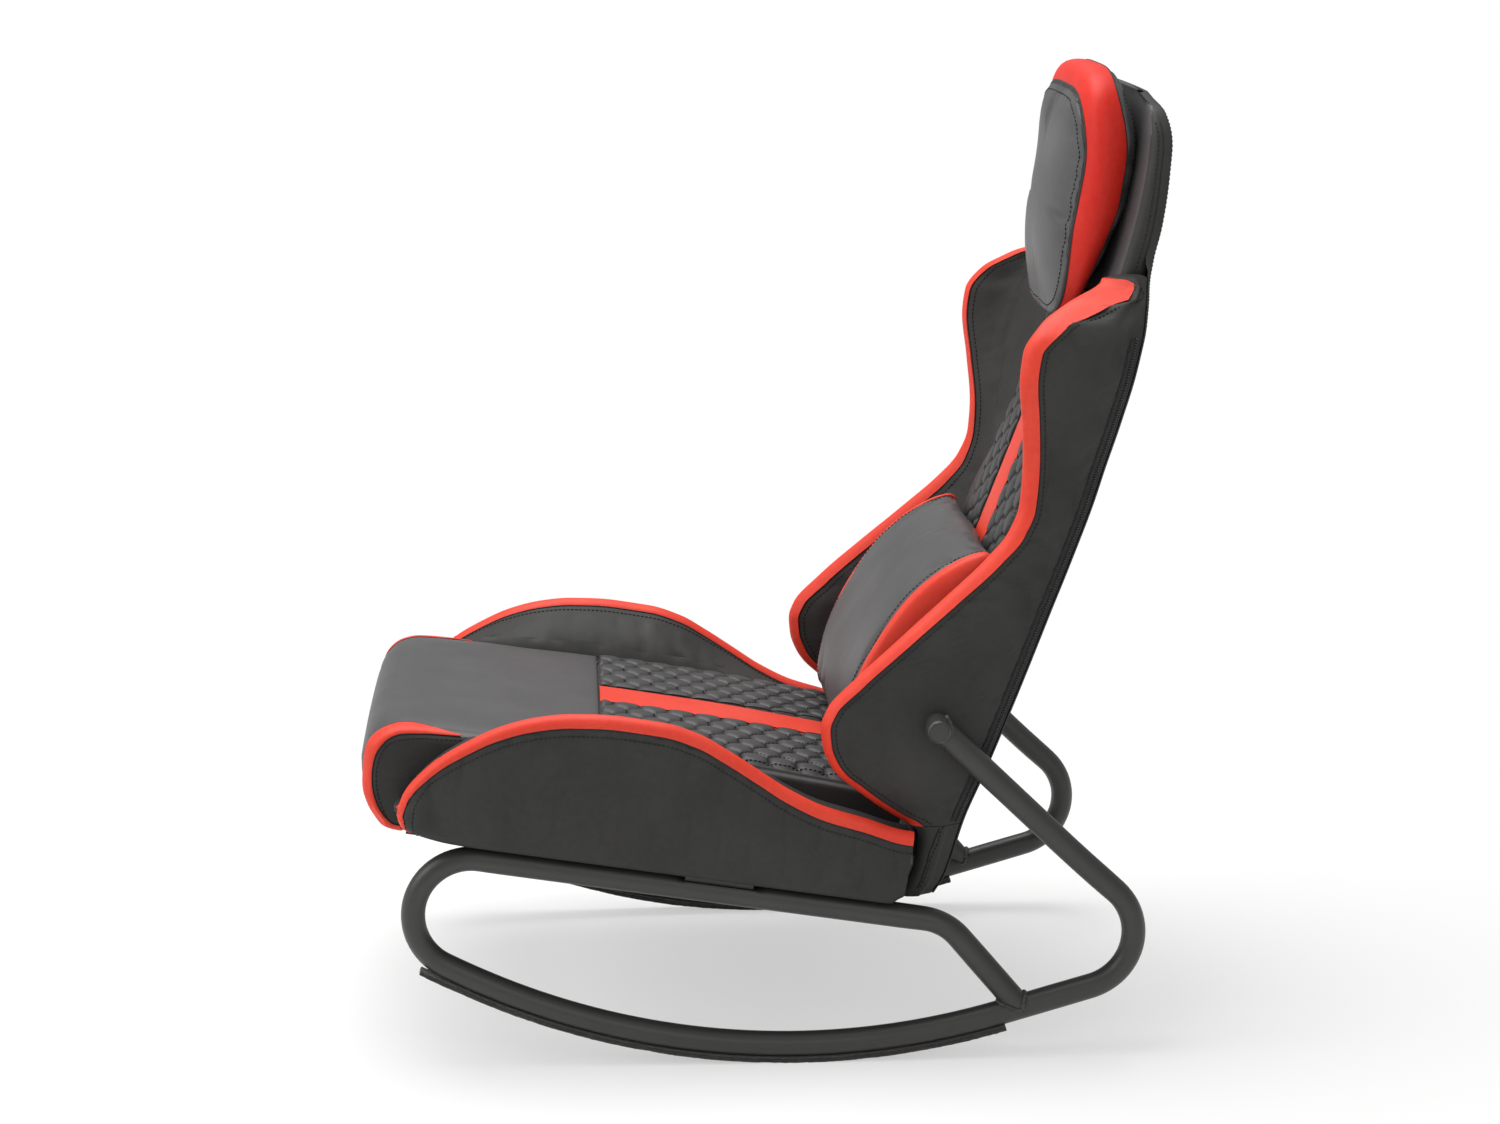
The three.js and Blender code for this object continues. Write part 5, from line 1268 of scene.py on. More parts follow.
def crest_stretch(height):
    """How much longer a level cut through the band is than its width across the sloping crest."""
    slope = float(wing_front(height + 1) - wing_front(height - 1)) / 2
    return min(math.hypot(1, slope), MOST_STRETCH)


def wing_line(height):
    """The crest of a wing: inner edge of its band, the crest itself, outer edge."""
    front, edge = float(wing_front(height)) + BAND, float(wing_edge(height))
    share, room = (height - BACK_BOTTOM) / BACK_HEIGHT, (float(cover_inside(height)) - front) * BAND_ROOM
    inner = min(float(inner_width(share)) * crest_stretch(height), room)
    outer = min(float(outer_width(share)) * crest_stretch(height), room)
    return np.array([[edge - SHOULDER * 0.7, front + inner], [edge - SHOULDER * 0.3, front + inner / 3],
                     [edge + SHOULDER * 0.15, front], [edge + SHOULDER * 0.65, front + outer / 3],
                     [edge + SHOULDER, front + outer]])


def wing_outline(height, side):
    """A level slice of a wing, from the pad's edge round the crest to the rear cover."""
    line = wing_line(height)
    base = float(pad_half(height)) + 0.6
    inner, shoulder = line[0]
    outer, turn = line[4]
    rear = float(cover_inside(height))
    seam = max(float(pad_front(height)) + 10, shoulder + 0.5)
    corners = [[base, rear], [base, seam], [base + (inner - base) * 0.4, seam - (seam - shoulder) * 0.15],
               [base + (inner - base) * 0.8, seam - (seam - shoulder) * 0.6], *line,
               [outer, (turn + rear) / 2], [outer - WING_TAPER / 3, rear - ZIP_WIDTH],
               [outer - WING_TAPER, rear]]
    section = rounded(corners, WING_RADII, WING_RUNS)
    return level(section * [side, 1], height)


WING_STEP, BAND_STEP = 5.0, 3.0


def heights_between(low, high, step):
    count = max(int((high - low) / step), 2)
    return np.linspace(low, high, count + 1)


def wing_band_rows(side):
    rows = []
    for height in heights_between(CORNER_TOP + SEATED, WING_TOP, BAND_STEP):
        rows.append(level(laid_band(wing_line(height)[::-1]) * [side, 1], height))
    return rows


def wing_part(side, low, high):
    return [wing_outline(height, side) for height in heights_between(low, high, WING_STEP)]


for word, side in SIDES:
    wing = loft_mesh(wing_part(side, CORNER_TOP + SEATED, WING_TOP), 0.0, 5.0)
    add_piece(f"{word}_wing_cover", wing, black_leather,
              replaces=[f"{word}_back_wing"], sharp=55)
    band = loft_mesh(wing_band_rows(side), 0.0, 3.0)
    add_piece(f"{word}_wing_edge_band", band, red_leather, replaces=[f"{word}_wing_band"])
    corner = loft_mesh(wing_part(side, BACK_BOTTOM, CORNER_TOP - SEATED), 1.0, 0.0)
    add_piece(f"{word}_corner_cover", corner, black_leather,
              replaces=[f"{word}_back_corner"], sharp=55)
print("two wings, two bands and two corner panels")

# %% The rear cover
def rear_half(height):
    wing, pad = float(wing_edge(height)) + SHOULDER - WING_TAPER, float(pad_half(height))
    share = 1 - float(ease(height, WING_TOP - 4, WING_TOP + 26))
    return pad + max(wing - pad, 0) * share - 0.5


REAR_STEP, REAR_COLUMNS, EDGE_FALL = 6.0, 41, 1.6
LIP_DEPTH, LIP_RISE = 6.5, 20.0


def rear_cover_rows():
    """A crowned panel whose edges wrap forward round the sides of the head section."""
    rows = []
    for height in heights_between(BACK_BOTTOM, BACK_TOP, REAR_STEP):
        half, edge = rear_half(height), float(rear_edge(height))
        across = np.linspace(-1, 1, REAR_COLUMNS)
        surface = edge + float(crown_at(height)) * (1 - across ** 2)
        outer = np.column_stack([across * half, surface - EDGE_FALL * np.abs(across) ** 14])
        inner = np.column_stack([across[::-1] * half, (surface - COVER)[::-1]])
        lip = COVER + 0.4 + LIP_DEPTH * float(ease(height, WING_TOP, WING_TOP + LIP_RISE))
        wrap = np.array([[half + 0.8, edge - 2.6], [half + 1.0, edge - 3.2],
                         [half + 1.0, edge - lip], [half + 0.2, edge - lip]])
        rows.append(level(np.concatenate([outer, wrap, inner, wrap[::-1] * [-1, 1]]), height))
    return rows


add_piece("rear_cover", loft_mesh(rear_cover_rows()), black_leather,
          replaces=["back_rear_panel"])
print("rear cover")

# %% [markdown]
# ## Head pillow
# The pillow is a face and a back panel with a red gusset between them. Face and back are drawn in the lighter
# copy of the black leather, which paints sheen. It is stuffed tightly, so its faces swell and the seams
# pucker. Its rings run round the pillow, from the middle of the face over the gusset to the middle of the
# back.

# %% Rings of the head pillow
HEAD_POINTS = 132
HEAD_ROUNDNESS = 0.46
GUSSET_BULGE = 12.0
head_front_table = smooth([[0, 0.717], [0.1, 0.728], [0.415, 0.744], [0.75, 0.776], [1, 0.768]])
head_rear_table = smooth([
    [0, 0.762], [0.12, 0.798], [0.317, 0.846], [0.463, 0.876], [0.67, 0.887], [1, 0.857]])
angles = (np.arange(HEAD_POINTS) + 0.5) / HEAD_POINTS * 2 * math.pi
ring_across, ring_up = (np.sign(way) * np.abs(way) ** HEAD_ROUNDNESS
                        for way in (np.cos(angles), np.sin(angles)))


def head_ring(scale, span, halves, table, bulge, fullness):
    """Ring of a face. Each pair of values is for the face's lower and upper edge."""
    share = (1 + ring_up * scale) / 2
    half, height, swell, full = (low + (high - low) * share for low, high in (halves, span, bulge, fullness))
    depth = BACK_DEPTH * table(share) + swell * (1 - scale ** full)
    return np.column_stack([half * ring_across * scale, depth, height])


def head_front(scale):
    return head_ring(scale, (722, 948), (118, 130), head_front_table, (-18, -18), (2.0, 4.5))


def head_rear(scale):
    return head_ring(scale, (738, 970), (120, 136), head_rear_table, (2, 14), (8, 14))


def even_ring(ring):
    """The same loop with its points evenly spaced."""
    return spaced(np.vstack([ring, ring[:1]]), len(ring) + 1)[:-1]


def gusset_ring(share, distance):
    front, rear = even_ring(head_front(1.0)), even_ring(head_rear(1.0))
    ring = front * (1 - share) + rear * share
    rearward = rear - front
    rearward /= np.linalg.norm(rearward, axis=1)[:, None]
    outward = ring - ring.mean(axis=0)
    outward -= rearward * np.sum(outward * rearward, axis=1)[:, None]
    outward /= np.linalg.norm(outward, axis=1)[:, None]
    return ring + outward * (distance + GUSSET_BULGE * math.sin(share * math.pi))


FACE_SHARES = [0.06, 0.18, 0.3, 0.42, 0.53, 0.63, 0.72, 0.8, 0.86, 0.91, 0.95, 0.975, 0.99, 1.0]
SIDE_SHARES = [0.03, 0.1, 0.3, 0.5, 0.7, 0.9, 0.97]
GUSSET_SHARES = [0.02, 0.04, 0.1, 0.2, 0.32, 0.44, 0.56, 0.68, 0.8, 0.9, 0.96, 0.98]
UNDER_GUSSET, GUSSET_THICK, GUSSET_SUNK = -2.6, 0.6, -3.0


def head_pillow_rows():
    rows = [even_ring(head_front(share)) for share in FACE_SHARES]
    rows += [gusset_ring(share, UNDER_GUSSET) for share in SIDE_SHARES]
    rows += [even_ring(head_rear(share)) for share in FACE_SHARES[::-1]]
    return rows


def head_gusset_rows():
    outer = [gusset_ring(share, GUSSET_THICK * (1 - abs(2 * share - 1) ** 6)) for share in GUSSET_SHARES]
    inner = [gusset_ring(share, GUSSET_SUNK) for share in GUSSET_SHARES[::-1]]
    section = np.stack([*outer, *inner])
    return [section[:, i] for i in range(HEAD_POINTS)]


# Face and back use the lighter leather that paints sheen.
head_pillow = add_piece("head_pillow_cover", grid_mesh(head_pillow_rows()), charcoal_leather, "head_pillow",
                        ["head_pillow"], sharp=60)
add_piece("head_gusset_cover", closed_ring_mesh(head_gusset_rows()), deep_red_leather, "head_pillow",
          ["head_pillow_gusset"], sharp=60)
print("head pillow and gusset")

# %% [markdown]
# ## Lumbar pillow
# A long pillow with a wide panel that wraps from its back over the front, and a red panel closing each end.
# The wide panel is drawn in the lighter copy of the black leather, which paints sheen. It leans against the
# pad, so its outline is drawn in the back's lean.

# %% Lumbar pillow
LUMBAR_HEIGHT, LUMBAR_HALF, LUMBAR_TAPE, LUMBAR_PANEL = 312.0, 166.0, 2.4, 0.91
LUMBAR_CENTRE = np.array([40.0, 60.0])
lumbar_outline = [
    [-51, 4], [-58, 40], [-60, 62], [-52, 80], [-10, 90], [30, 91], [70, 86],
    [120, 74], [155, 55], [180, 34], [191, 18], [188, 8], [110, 6.5], [85, 2.4], [-20, 2.4]]
lumbar_scale = smooth([[0, 1.01], [0.6, 1], [0.9, 0.99], [1, 0.985]])
LUMBAR_RADII = [8, 14, 14, 16, 26, 26, 26, 26, 20, 12, 7, 5, 10, 10, 6]
LUMBAR_RUNS = [2, 1, 1, 3, 4, 4, 5, 4, 3, 1, 0, 6, 2, 9, 2]


def lumbar_section(scale):
    front_up = np.array([[front, up] for up, front in lumbar_outline], float)
    fixed = front_up[:, 0] < LUMBAR_TAPE + 0.5
    scaled = LUMBAR_CENTRE + (front_up - LUMBAR_CENTRE) * scale
    scaled[:, 0] = np.where(fixed, front_up[:, 0], scaled[:, 0])
    return rounded(scaled, LUMBAR_RADII, LUMBAR_RUNS)


def lean_back(points):
    x, front, up = np.moveaxis(np.asarray(points, float), -1, 0)
    start = float(pad_front(LUMBAR_HEIGHT))
    depth = start - front * math.cos(BACK_LEAN) + up * math.sin(BACK_LEAN)
    height = LUMBAR_HEIGHT + front * math.sin(BACK_LEAN) + up * math.cos(BACK_LEAN)
    return np.stack([x, depth, height], axis=-1)


def lumbar_row(share, scale):
    section = lumbar_section(scale)
    return lean_back(np.column_stack([np.full(len(section), share * LUMBAR_HALF), section]))


END_SHARES = [1.0, 0.995, 0.985, 0.97, 0.95]
END_BULGE, END_ROWS, END_TIP = 21.0, 20, 0.008


def lumbar_rows():
    shares = np.concatenate([END_SHARES, np.linspace(0.92, 0, 24)]) * LUMBAR_PANEL
    right = [lumbar_row(share, float(lumbar_scale(share))) for share in shares]
    left = [lumbar_row(-share, float(lumbar_scale(share))) for share in shares[:-1]]
    return [*right, *left[::-1]]


def lumbar_end_rows(side):
    rows = []
    for share in np.sin(np.linspace(0, 1, END_ROWS) * math.pi / 2):
        scale = math.sqrt(1 - share ** 5) + END_TIP
        out = LUMBAR_HALF * LUMBAR_PANEL - 1 + END_BULGE * share
        section = lumbar_section(scale)
        squeezed = LUMBAR_CENTRE + (section - LUMBAR_CENTRE) * [min(1, scale + 0.02), 1]
        rows.append(lean_back(np.column_stack([np.full(len(section), side * out), squeezed])))
    return rows


# The main panel uses the lighter leather that paints sheen.
lumbar_pillow = add_piece("lumbar_pillow_cover", grid_mesh(lumbar_rows()), charcoal_leather, "lumbar_pillow",
                          ["lumbar_pillow"], sharp=60)
for word, side in SIDES:
    add_piece(f"{word}_lumbar_end", grid_mesh(lumbar_end_rows(side)), red_leather, "lumbar_pillow",
              [f"{word}_lumbar_side"], sharp=60)
print("lumbar pillow")

# %% [markdown]
# ## Stuffing by cloth simulation
# Tables give the cut of a cover, but not how it behaves when it is filled. So each cover is
# simulated as cloth: its seams are pinned, the panels get a little more cloth than the space
# between the seams, and pressure from inside pushes them out. The slack gathers in small folds
# near the seams, which noise on the surface would not do. Quilting is sewn through to its
# backing, so the quilted fields keep the shape that their stitches give them.

# %% A cover blown up between its seams
CLOTH_FRAMES = 20
CLOTH_RULES = {
    "quality": 7, "mass": 0.25, "tension_stiffness": 18.0, "compression_stiffness": 18.0,
    "shear_stiffness": 8.0, "bending_stiffness": 0.6, "air_damping": 2.0, "use_pressure": True,
}
STILL = 1e-9


def stuff(piece, pinned, pressure, slack, reach):
    """Blow up a cover; slack is its extra cloth, reach the most in millimetres that it moves."""
    mesh = piece.data
    before = np.array([vertex.co[:] for vertex in mesh.vertices])
    group = piece.vertex_groups.new(name="pinned")
    group.add([int(i) for i in np.flatnonzero(pinned)], 1.0, "REPLACE")
    cloth = piece.modifiers.new("stuffing", "CLOTH")
    rules = cloth.settings
    for key, value in CLOTH_RULES.items():
        setattr(rules, key, value)
    rules.vertex_group_mass = "pinned"
    rules.uniform_pressure_force = pressure
    rules.shrink_min = -slack
    rules.effector_weights.gravity = 0.0
    cloth.collision_settings.use_collision = False
    cloth.collision_settings.use_self_collision = False
    for moment in range(1, CLOTH_FRAMES + 1):
        scene.frame_set(moment)
    shaped = piece.evaluated_get(bpy.context.evaluated_depsgraph_get())
    after = np.array([vertex.co[:] for vertex in shaped.data.vertices])
    move = after - before
    length = np.linalg.norm(move, axis=1)
    cap = reach * MM
    move *= np.where(length > STILL, cap * np.tanh(length / cap) / np.maximum(length, STILL), 0)[:, None]
    piece.modifiers.clear()
    piece.vertex_groups.clear()
    mesh.vertices.foreach_set("co", (before + move).ravel())
    mesh.update()
    scene.frame_set(1)
    return float(length.max() / MM)


def drawn(piece):
    return np.array([vertex.co[:] for vertex in piece.data.vertices]) / MM - [0, SHIFT, 0]


# %% Head and lumbar pillows
PILLOW_PRESSURE, PILLOW_REACH = 4.0, 3.5
NEAR_SEAM, NEAR_FOOT = 3.0, 9.0
row_count = len(FACE_SHARES)
ring_number = np.arange(len(head_pillow.data.vertices)) // HEAD_POINTS
pinned = (ring_number >= row_count - 1) & (ring_number <= row_count + len(SIDE_SHARES))
moved = stuff(head_pillow, pinned, PILLOW_PRESSURE, 0.03, PILLOW_REACH)
print("head pillow moved", round(moved, 1), "mm")

points = drawn(lumbar_pillow)
flat_back = pad_front(points[:, 2]) - points[:, 1] < NEAR_FOOT
pinned = (np.abs(points[:, 0]) > LUMBAR_HALF * LUMBAR_PANEL - NEAR_SEAM) | flat_back
moved = stuff(lumbar_pillow, pinned, PILLOW_PRESSURE, 0.02, PILLOW_REACH)
print("lumbar pillow moved", round(moved, 1), "mm")


# %% Bolsters and wings
def seat_frame(points):
    """The way back from depth and height to places along and above the rails."""
    depth, height = points[:, 1], points[:, 2] - RAIL_HEIGHT
    along = depth * math.cos(RAIL_TILT) - height * math.sin(RAIL_TILT)
    above = depth * math.sin(RAIL_TILT) + height * math.cos(RAIL_TILT)
    return along, above


COVER_PRESSURE, COVER_SLACK, COVER_REACH = 3.5, 0.012, 4.0
for word, _ in SIDES:
    piece = bpy.data.objects[f"{word}_bolster_cover"]
    points = drawn(piece)
    along, above = seat_frame(points)
    crest = CREST * crest_table(seat_share(along))
    inner_foot = np.abs(points[:, 0]) < cushion_half(along) + NEAR_FOOT
    pinned = (above > crest - CREST_ROUND - 4) | (above < SKIRT + NEAR_FOOT) | inner_foot
    pinned |= (along > BOLSTER_REAR - 2) | (along < BOLSTER_FRONT + 6)
    moved = stuff(piece, pinned, COVER_PRESSURE, COVER_SLACK, COVER_REACH)
    print(word, "bolster moved", round(moved, 1), "mm")
    piece = bpy.data.objects[f"{word}_wing_cover"]
    points = drawn(piece)
    across, depth, height = np.abs(points[:, 0]), points[:, 1], points[:, 2]
    crest = wing_front(height) + BAND
    pinned = (depth < crest + BAND_ZONE) | (depth > cover_inside(height) - ZIP_WIDTH)
    pinned |= (across < pad_half(height) + NEAR_FOOT) | (height < CORNER_TOP + 4) | (height > WING_TOP - 6)
    moved = stuff(piece, pinned, COVER_PRESSURE, COVER_SLACK, COVER_REACH)
    print(word, "wing moved", round(moved, 1), "mm")

# %% [markdown]
# ## Things sewn onto a surface
# Bands, seams and stitches lie on covers that are already shaped. A path is drawn near a cover,
# each of its points is moved to the nearest place on it, and then lifted along the cover's own
# normal. That keeps a stitch on a dome or in a valley without any hand fitting.

# %% The nearest place on a cover
class Skin:
    """One or more covers as a surface that things are laid on."""

    def __init__(self, *names):
        points, faces = [], []
        for name in names:
            mesh = bpy.data.objects[name].data
            start = len(points)
            points += [vertex.co / MM - Vector((0, SHIFT, 0)) for vertex in mesh.vertices]
            faces += [[start + corner for corner in polygon.vertices] for polygon in mesh.polygons]
        self.tree = BVHTree.FromPolygons(points, faces)

    def lay(self, points, lift):
        """The nearest places on the skin, lifted along its normals; lift is one value or a list."""
        lifts = np.broadcast_to(lift, len(points))
        laid = []
        for point, height in zip(points, lifts):
            place, normal, _, _ = self.tree.find_nearest(Vector(point))
            laid.append(place + normal * float(height))
        return np.array(laid)


def even_path(points, step):
    """The same line with points about one step apart."""
    points = np.asarray(points, float)
    return spaced(points, max(int(round(run_along(points)[-1] / step)), 1) + 1)


SEAM_STEP = 3.0


def soft_path(points, step=SEAM_STEP):
    """A rounded line through the points."""
    points = np.asarray(points, float)
    padded = np.vstack([2 * points[0] - points[1], points, 2 * points[-1] - points[-2]])
    line = []
    for i in range(1, len(padded) - 2):
        for t in np.linspace(0, 1, 8, endpoint=False):
            line.append(rounded_between(*padded[i - 1:i + 3], t))
    return even_path(np.vstack([line, points[-1:]]), step)


STRIP_EDGE, STRIP_SUNK = 0.35, -0.8


def strip_on(skin, guides, thick, columns=BAND_COLUMNS):
    """Closed strip over a skin. Each guide is a line from one edge of the strip to the other."""
    share = np.linspace(-1, 1, columns)
    lift = STRIP_EDGE + (thick - STRIP_EDGE) * (1 - np.abs(share) ** 6)
    rows = []
    for guide in guides:
        across = spaced(guide, columns)
        rows.append(np.concatenate([skin.lay(across, lift), skin.lay(across[::-1], STRIP_SUNK)]))
    return grid_mesh(rows)


# %% [markdown]
# ## Red strips round the front corners of the seat
# On each side a red strip starts in a point on the upper edge, widens over the corner and runs down round the
# nose. It divides the top, drawn lighter to paint its sheen, from the black side panel.

# %% Front strips and black side panels
STRIP_OUTER = [
    (198, -352, 110.5), (194, -366, 112), (188, -380, 113.8), (183, -395, 114.2), (181, -408, 112),
    (182, -422, 104.5), (184, -434, 92), (187, -441, 78), (187, -441, 58), (188, -435, 34), (189, -424, 16),
    (190, -408, 4), (190, -394, 3)]
STRIP_INNER = [
    (200, -352, 109.5), (200.5, -372, 109), (201, -392, 107), (201.5, -411, 103.4), (202, -424, 94),
    (202, -432, 78), (202, -433.5, 59), (201.5, -429, 40), (201, -420, 23), (200.5, -407, 11.5),
    (200, -396, 10.5)]
STRIP_ROWS, STRIP_THICK = 110, 1.9
STITCH_INSET = 4.2
ROLL_START, ROLL_LENGTH, DROP_START, DROP_LENGTH = -380, 30, 432, 20
SEAM_LIFT, CORD_LIFT, QUILT_LIFT = 0.2, 0.25, 0.05
cushion_skin = Skin("seat_cushion_cover")
# The seam lines become thin dark cords that paint the shade in the seams' grooves.
seam_shade_runs, stitch_runs, quilt_runs = {}, {}, {}


def sew(runs, points, body="frame", look=black_thread):
    """Keep a laid line of sewing for the node trees, by its body and its thread."""
    runs.setdefault((body, look.name), []).append(np.asarray(points, float))


def along_path(line, count):
    """The same line with another number of points, at even shares of its old ones."""
    where = np.linspace(0, len(line) - 1, count)
    return np.column_stack([np.interp(where, np.arange(len(line)), line[:, k]) for k in range(3)])


def sided(points, side):
    return np.asarray(points, float) * [side, 1, 1]


def stitch_place(place, above):
    """Where the stitches beside the front strip run: further in where the strip rolls down."""
    back = STITCH_INSET * np.clip((ROLL_START - place) / ROLL_LENGTH, 0, 1)
    down = STITCH_INSET * np.clip((place + DROP_START) / DROP_LENGTH, 0, 1)
    return 204, place + back, above - down


for word, side in SIDES:
    outer = along_path(soft_path(turn_seat(sided(STRIP_OUTER, side)), 2.0), STRIP_ROWS)
    inner = along_path(soft_path(turn_seat(sided(STRIP_INNER, side)), 2.0), STRIP_ROWS)
    strip = strip_on(cushion_skin, list(zip(outer, inner)), STRIP_THICK)
    add_piece(f"{word}_front_strip", strip, red_leather, replaces=[f"{word}_front_trim"])
    for edge in (outer, inner):
        sew(seam_shade_runs, cushion_skin.lay(even_path(edge, SEAM_STEP), CORD_LIFT))
    inward = turn_seat(sided([stitch_place(place, above) for _, place, above in STRIP_INNER[1:]], side))
    rearward = turn_seat(sided([(203, -330, 108), (203, -300, 108)], side))
    sew(stitch_runs, cushion_skin.lay(soft_path(np.vstack([rearward[::-1], inward])), SEAM_LIFT))
print("front strips laid")

# %% Seams and stitch lines of the seat
ABOVE_SEAT, FIELD_HALF = 122.0, 184.0
STRIPE_SEAM = STRIPE_HALF + 0.6
FIELD_MARGIN, QUILT_LINE_STEP = 1.5, 4.0


def seat_line(points, step=SEAM_STEP, lift=SEAM_LIFT):
    return cushion_skin.lay(even_path(turn_seat(points), step), lift)


line = [(across, QUILT_FRONT - 0.4, ABOVE_SEAT) for across in np.linspace(-FIELD_HALF, FIELD_HALF, 60)]
sew(seam_shade_runs, seat_line(line))
for _, side in SIDES:
    for across, runs in ((STRIPE_SEAM, seam_shade_runs), (FIELD_EDGE + 0.5, stitch_runs)):
        places = np.linspace(QUILT_FRONT + 1, SEAT_REAR - 4, 60)
        sew(runs, seat_line([(side * across, place, ABOVE_SEAT) for place in places]))


def hexagon_lines(edge, length):
    """Edges of the quilting's hexagons as (across, along) pairs, inside one field."""
    first, reach, lines = QUILT_START, HEX_PITCH / math.sqrt(3), {}
    turns = np.arange(6) * math.pi / 3
    for row in range(-1, int((edge - first) / HEX_ROW) + 2):
        for column in range(-1, int(length / HEX_PITCH) + 2):
            centre = np.array([first + row * HEX_ROW, column * HEX_PITCH + (row % 2) * HEX_PITCH / 2])
            corners = [centre + reach * np.array([math.cos(turn), math.sin(turn)]) for turn in turns]
            for a, b in zip(corners, corners[1:] + corners[:1]):
                key = tuple(np.round((a + b) / 2, 0))
                lines.setdefault(key, (a, b))
    kept = []
    for a, b in lines.values():
        span = [a + (b - a) * t for t in np.linspace(0, 1, 9)]
        inside = [p for p in span if STRIPE_HALF + FIELD_MARGIN < p[0] < edge - FIELD_MARGIN
                  and FIELD_MARGIN < p[1] < length - FIELD_MARGIN]
        if len(inside) > 3:
            kept.append((inside[0], inside[-1]))
    return kept


for _, side in SIDES:
    for ends in hexagon_lines(FIELD_EDGE, SEAT_REAR - QUILT_FRONT):
        line = [(side * across, QUILT_FRONT + along, ABOVE_SEAT) for across, along in ends]
        sew(quilt_runs, seat_line(line, QUILT_LINE_STEP, QUILT_LIFT), look=quilt_thread)
print("seat quilting:", len(quilt_runs[("frame", quilt_thread.name)]), "stitched edges")

# %% Bolster bands' stitches, and the bands' ends round the front
BAND_END_REAR = [
    (253, -386, 22), (257, -391.5, 30), (259, -395.5, 40), (260.5, -395, 50), (262, -391, 60),
    (263, -385, 69)]
BAND_END_FRONT = [
    (246, -390, 18), (246, -397, 25), (246, -402.5, 36), (246.5, -404, 48), (247, -400, 62),
    (248.5, -393, 74)]
STITCH_START = [(257, -380, 22), (260, -384, 30), (263, -387, 40), (264, -386, 52)]
JOIN_PLACES = [BAND_START + further for further in (1, 4, 8, 12, 17)]


def seat_path(points, side, step=SEAM_STEP):
    return soft_path(turn_seat(sided(points, side)), step)


for word, side in SIDES:
    skin = Skin(f"{word}_bolster_cover")
    below, inside, outer_edge, inner_edge = [], [], [], []
    for place in bolster_places[1:]:
        line = crest_line(place)
        outer_edge.append((line[1][0], place, line[1][1]))
        inner_edge.append((line[5][0], place, line[5][1]))
        below.append((line[1][0] + 1, place + max(0, BOLSTER_FRONT + 14 - place), line[1][1] - 7.5))
        inside.append((line[5][0] - 4, place, line[5][1] - 6))
    start = int(np.sum(bolster_places[1:] <= BAND_START + 8))
    for edge in (BAND_END_REAR + outer_edge[start:], BAND_END_FRONT + inner_edge[start:]):
        sew(seam_shade_runs, skin.lay(seat_path(edge, side), SEAM_LIFT))
    for points in (STITCH_START + below[start:], inside[3:]):
        sew(stitch_runs, skin.lay(seat_path(points, side), CORD_LIFT))
    ends = [along_path(seat_path(points, side, 1.5), 24) for points in (BAND_END_REAR, BAND_END_FRONT)]
    rows = list(zip(*ends))
    for place in JOIN_PLACES:
        rows.append(turn_seat([(side * across, place, above) for across, above in crest_line(place)[1:]]))
    band_end = strip_on(skin, rows, LAID_BAND + STRIP_EDGE)
    add_piece(f"{word}_bolster_band_end", band_end, red_leather)
print("bolsters stitched")

# %% Stitches of the back
ABOVE_PAD = 3.0
pad_skin = Skin("back_pad_cover")
for height, runs in ((BACK_QUILT_LOW, seam_shade_runs), (BACK_QUILT_LOW - 6, stitch_runs),
                     (BACK_QUILT_HIGH, seam_shade_runs), (BACK_QUILT_HIGH + 6, stitch_runs)):
    half = float(pad_half(height)) - 5
    line = [(across, float(back_surface(height, across)) - ABOVE_PAD, height)
            for across in np.linspace(-half, half, 60)]
    sew(runs, pad_skin.lay(line, SEAM_LIFT))
for _, side in SIDES:
    heights = np.linspace(BACK_QUILT_LOW + 1, BACK_QUILT_HIGH - 1, 80)
    line = [(side * STRIPE_SEAM, float(pad_front(height)) - ABOVE_PAD, height) for height in heights]
    sew(seam_shade_runs, pad_skin.lay(line, SEAM_LIFT))
    for ends in hexagon_lines(BACK_FIELD_EDGE, (BACK_QUILT_HIGH - BACK_QUILT_LOW) / math.cos(BACK_LEAN)):
        line = []
        for across, along in ends:
            height = BACK_QUILT_LOW + along * math.cos(BACK_LEAN)
            line.append((side * across * quilt_fit(height), float(pad_front(height)) - ABOVE_PAD, height))
        sew(quilt_runs, pad_skin.lay(even_path(line, QUILT_LINE_STEP), QUILT_LIFT), look=quilt_thread)
    heights = np.linspace(BACK_BOTTOM + 0.79 * BACK_HEIGHT, BACK_TOP - 26, 60)
    for offset, runs in ((7.2, seam_shade_runs), (12.5, stitch_runs)):
        line = [(side * (float(pad_half(height)) + 2), float(cover_inside(height)) - offset, height)
                for height in heights]
        sew(runs, pad_skin.lay(line, SEAM_LIFT))
print("back pad stitched")

# %% Stitches and zips of the wings
CORNER_SEAM = [(141, 231), (138, 221), (134.5, 211), (130, 198), (124, 180), (120, 168)]
CORNER_SIDE = 245.0
ZIP_TOP, TAPE_EDGE, TAPE_THICK, TAPE_COLUMNS = 722.0, 2.5, 0.9, 7
TEETH_IN, TEETH_LIFT, ZIP_LIFT = 6.5, 1.1, 0.3
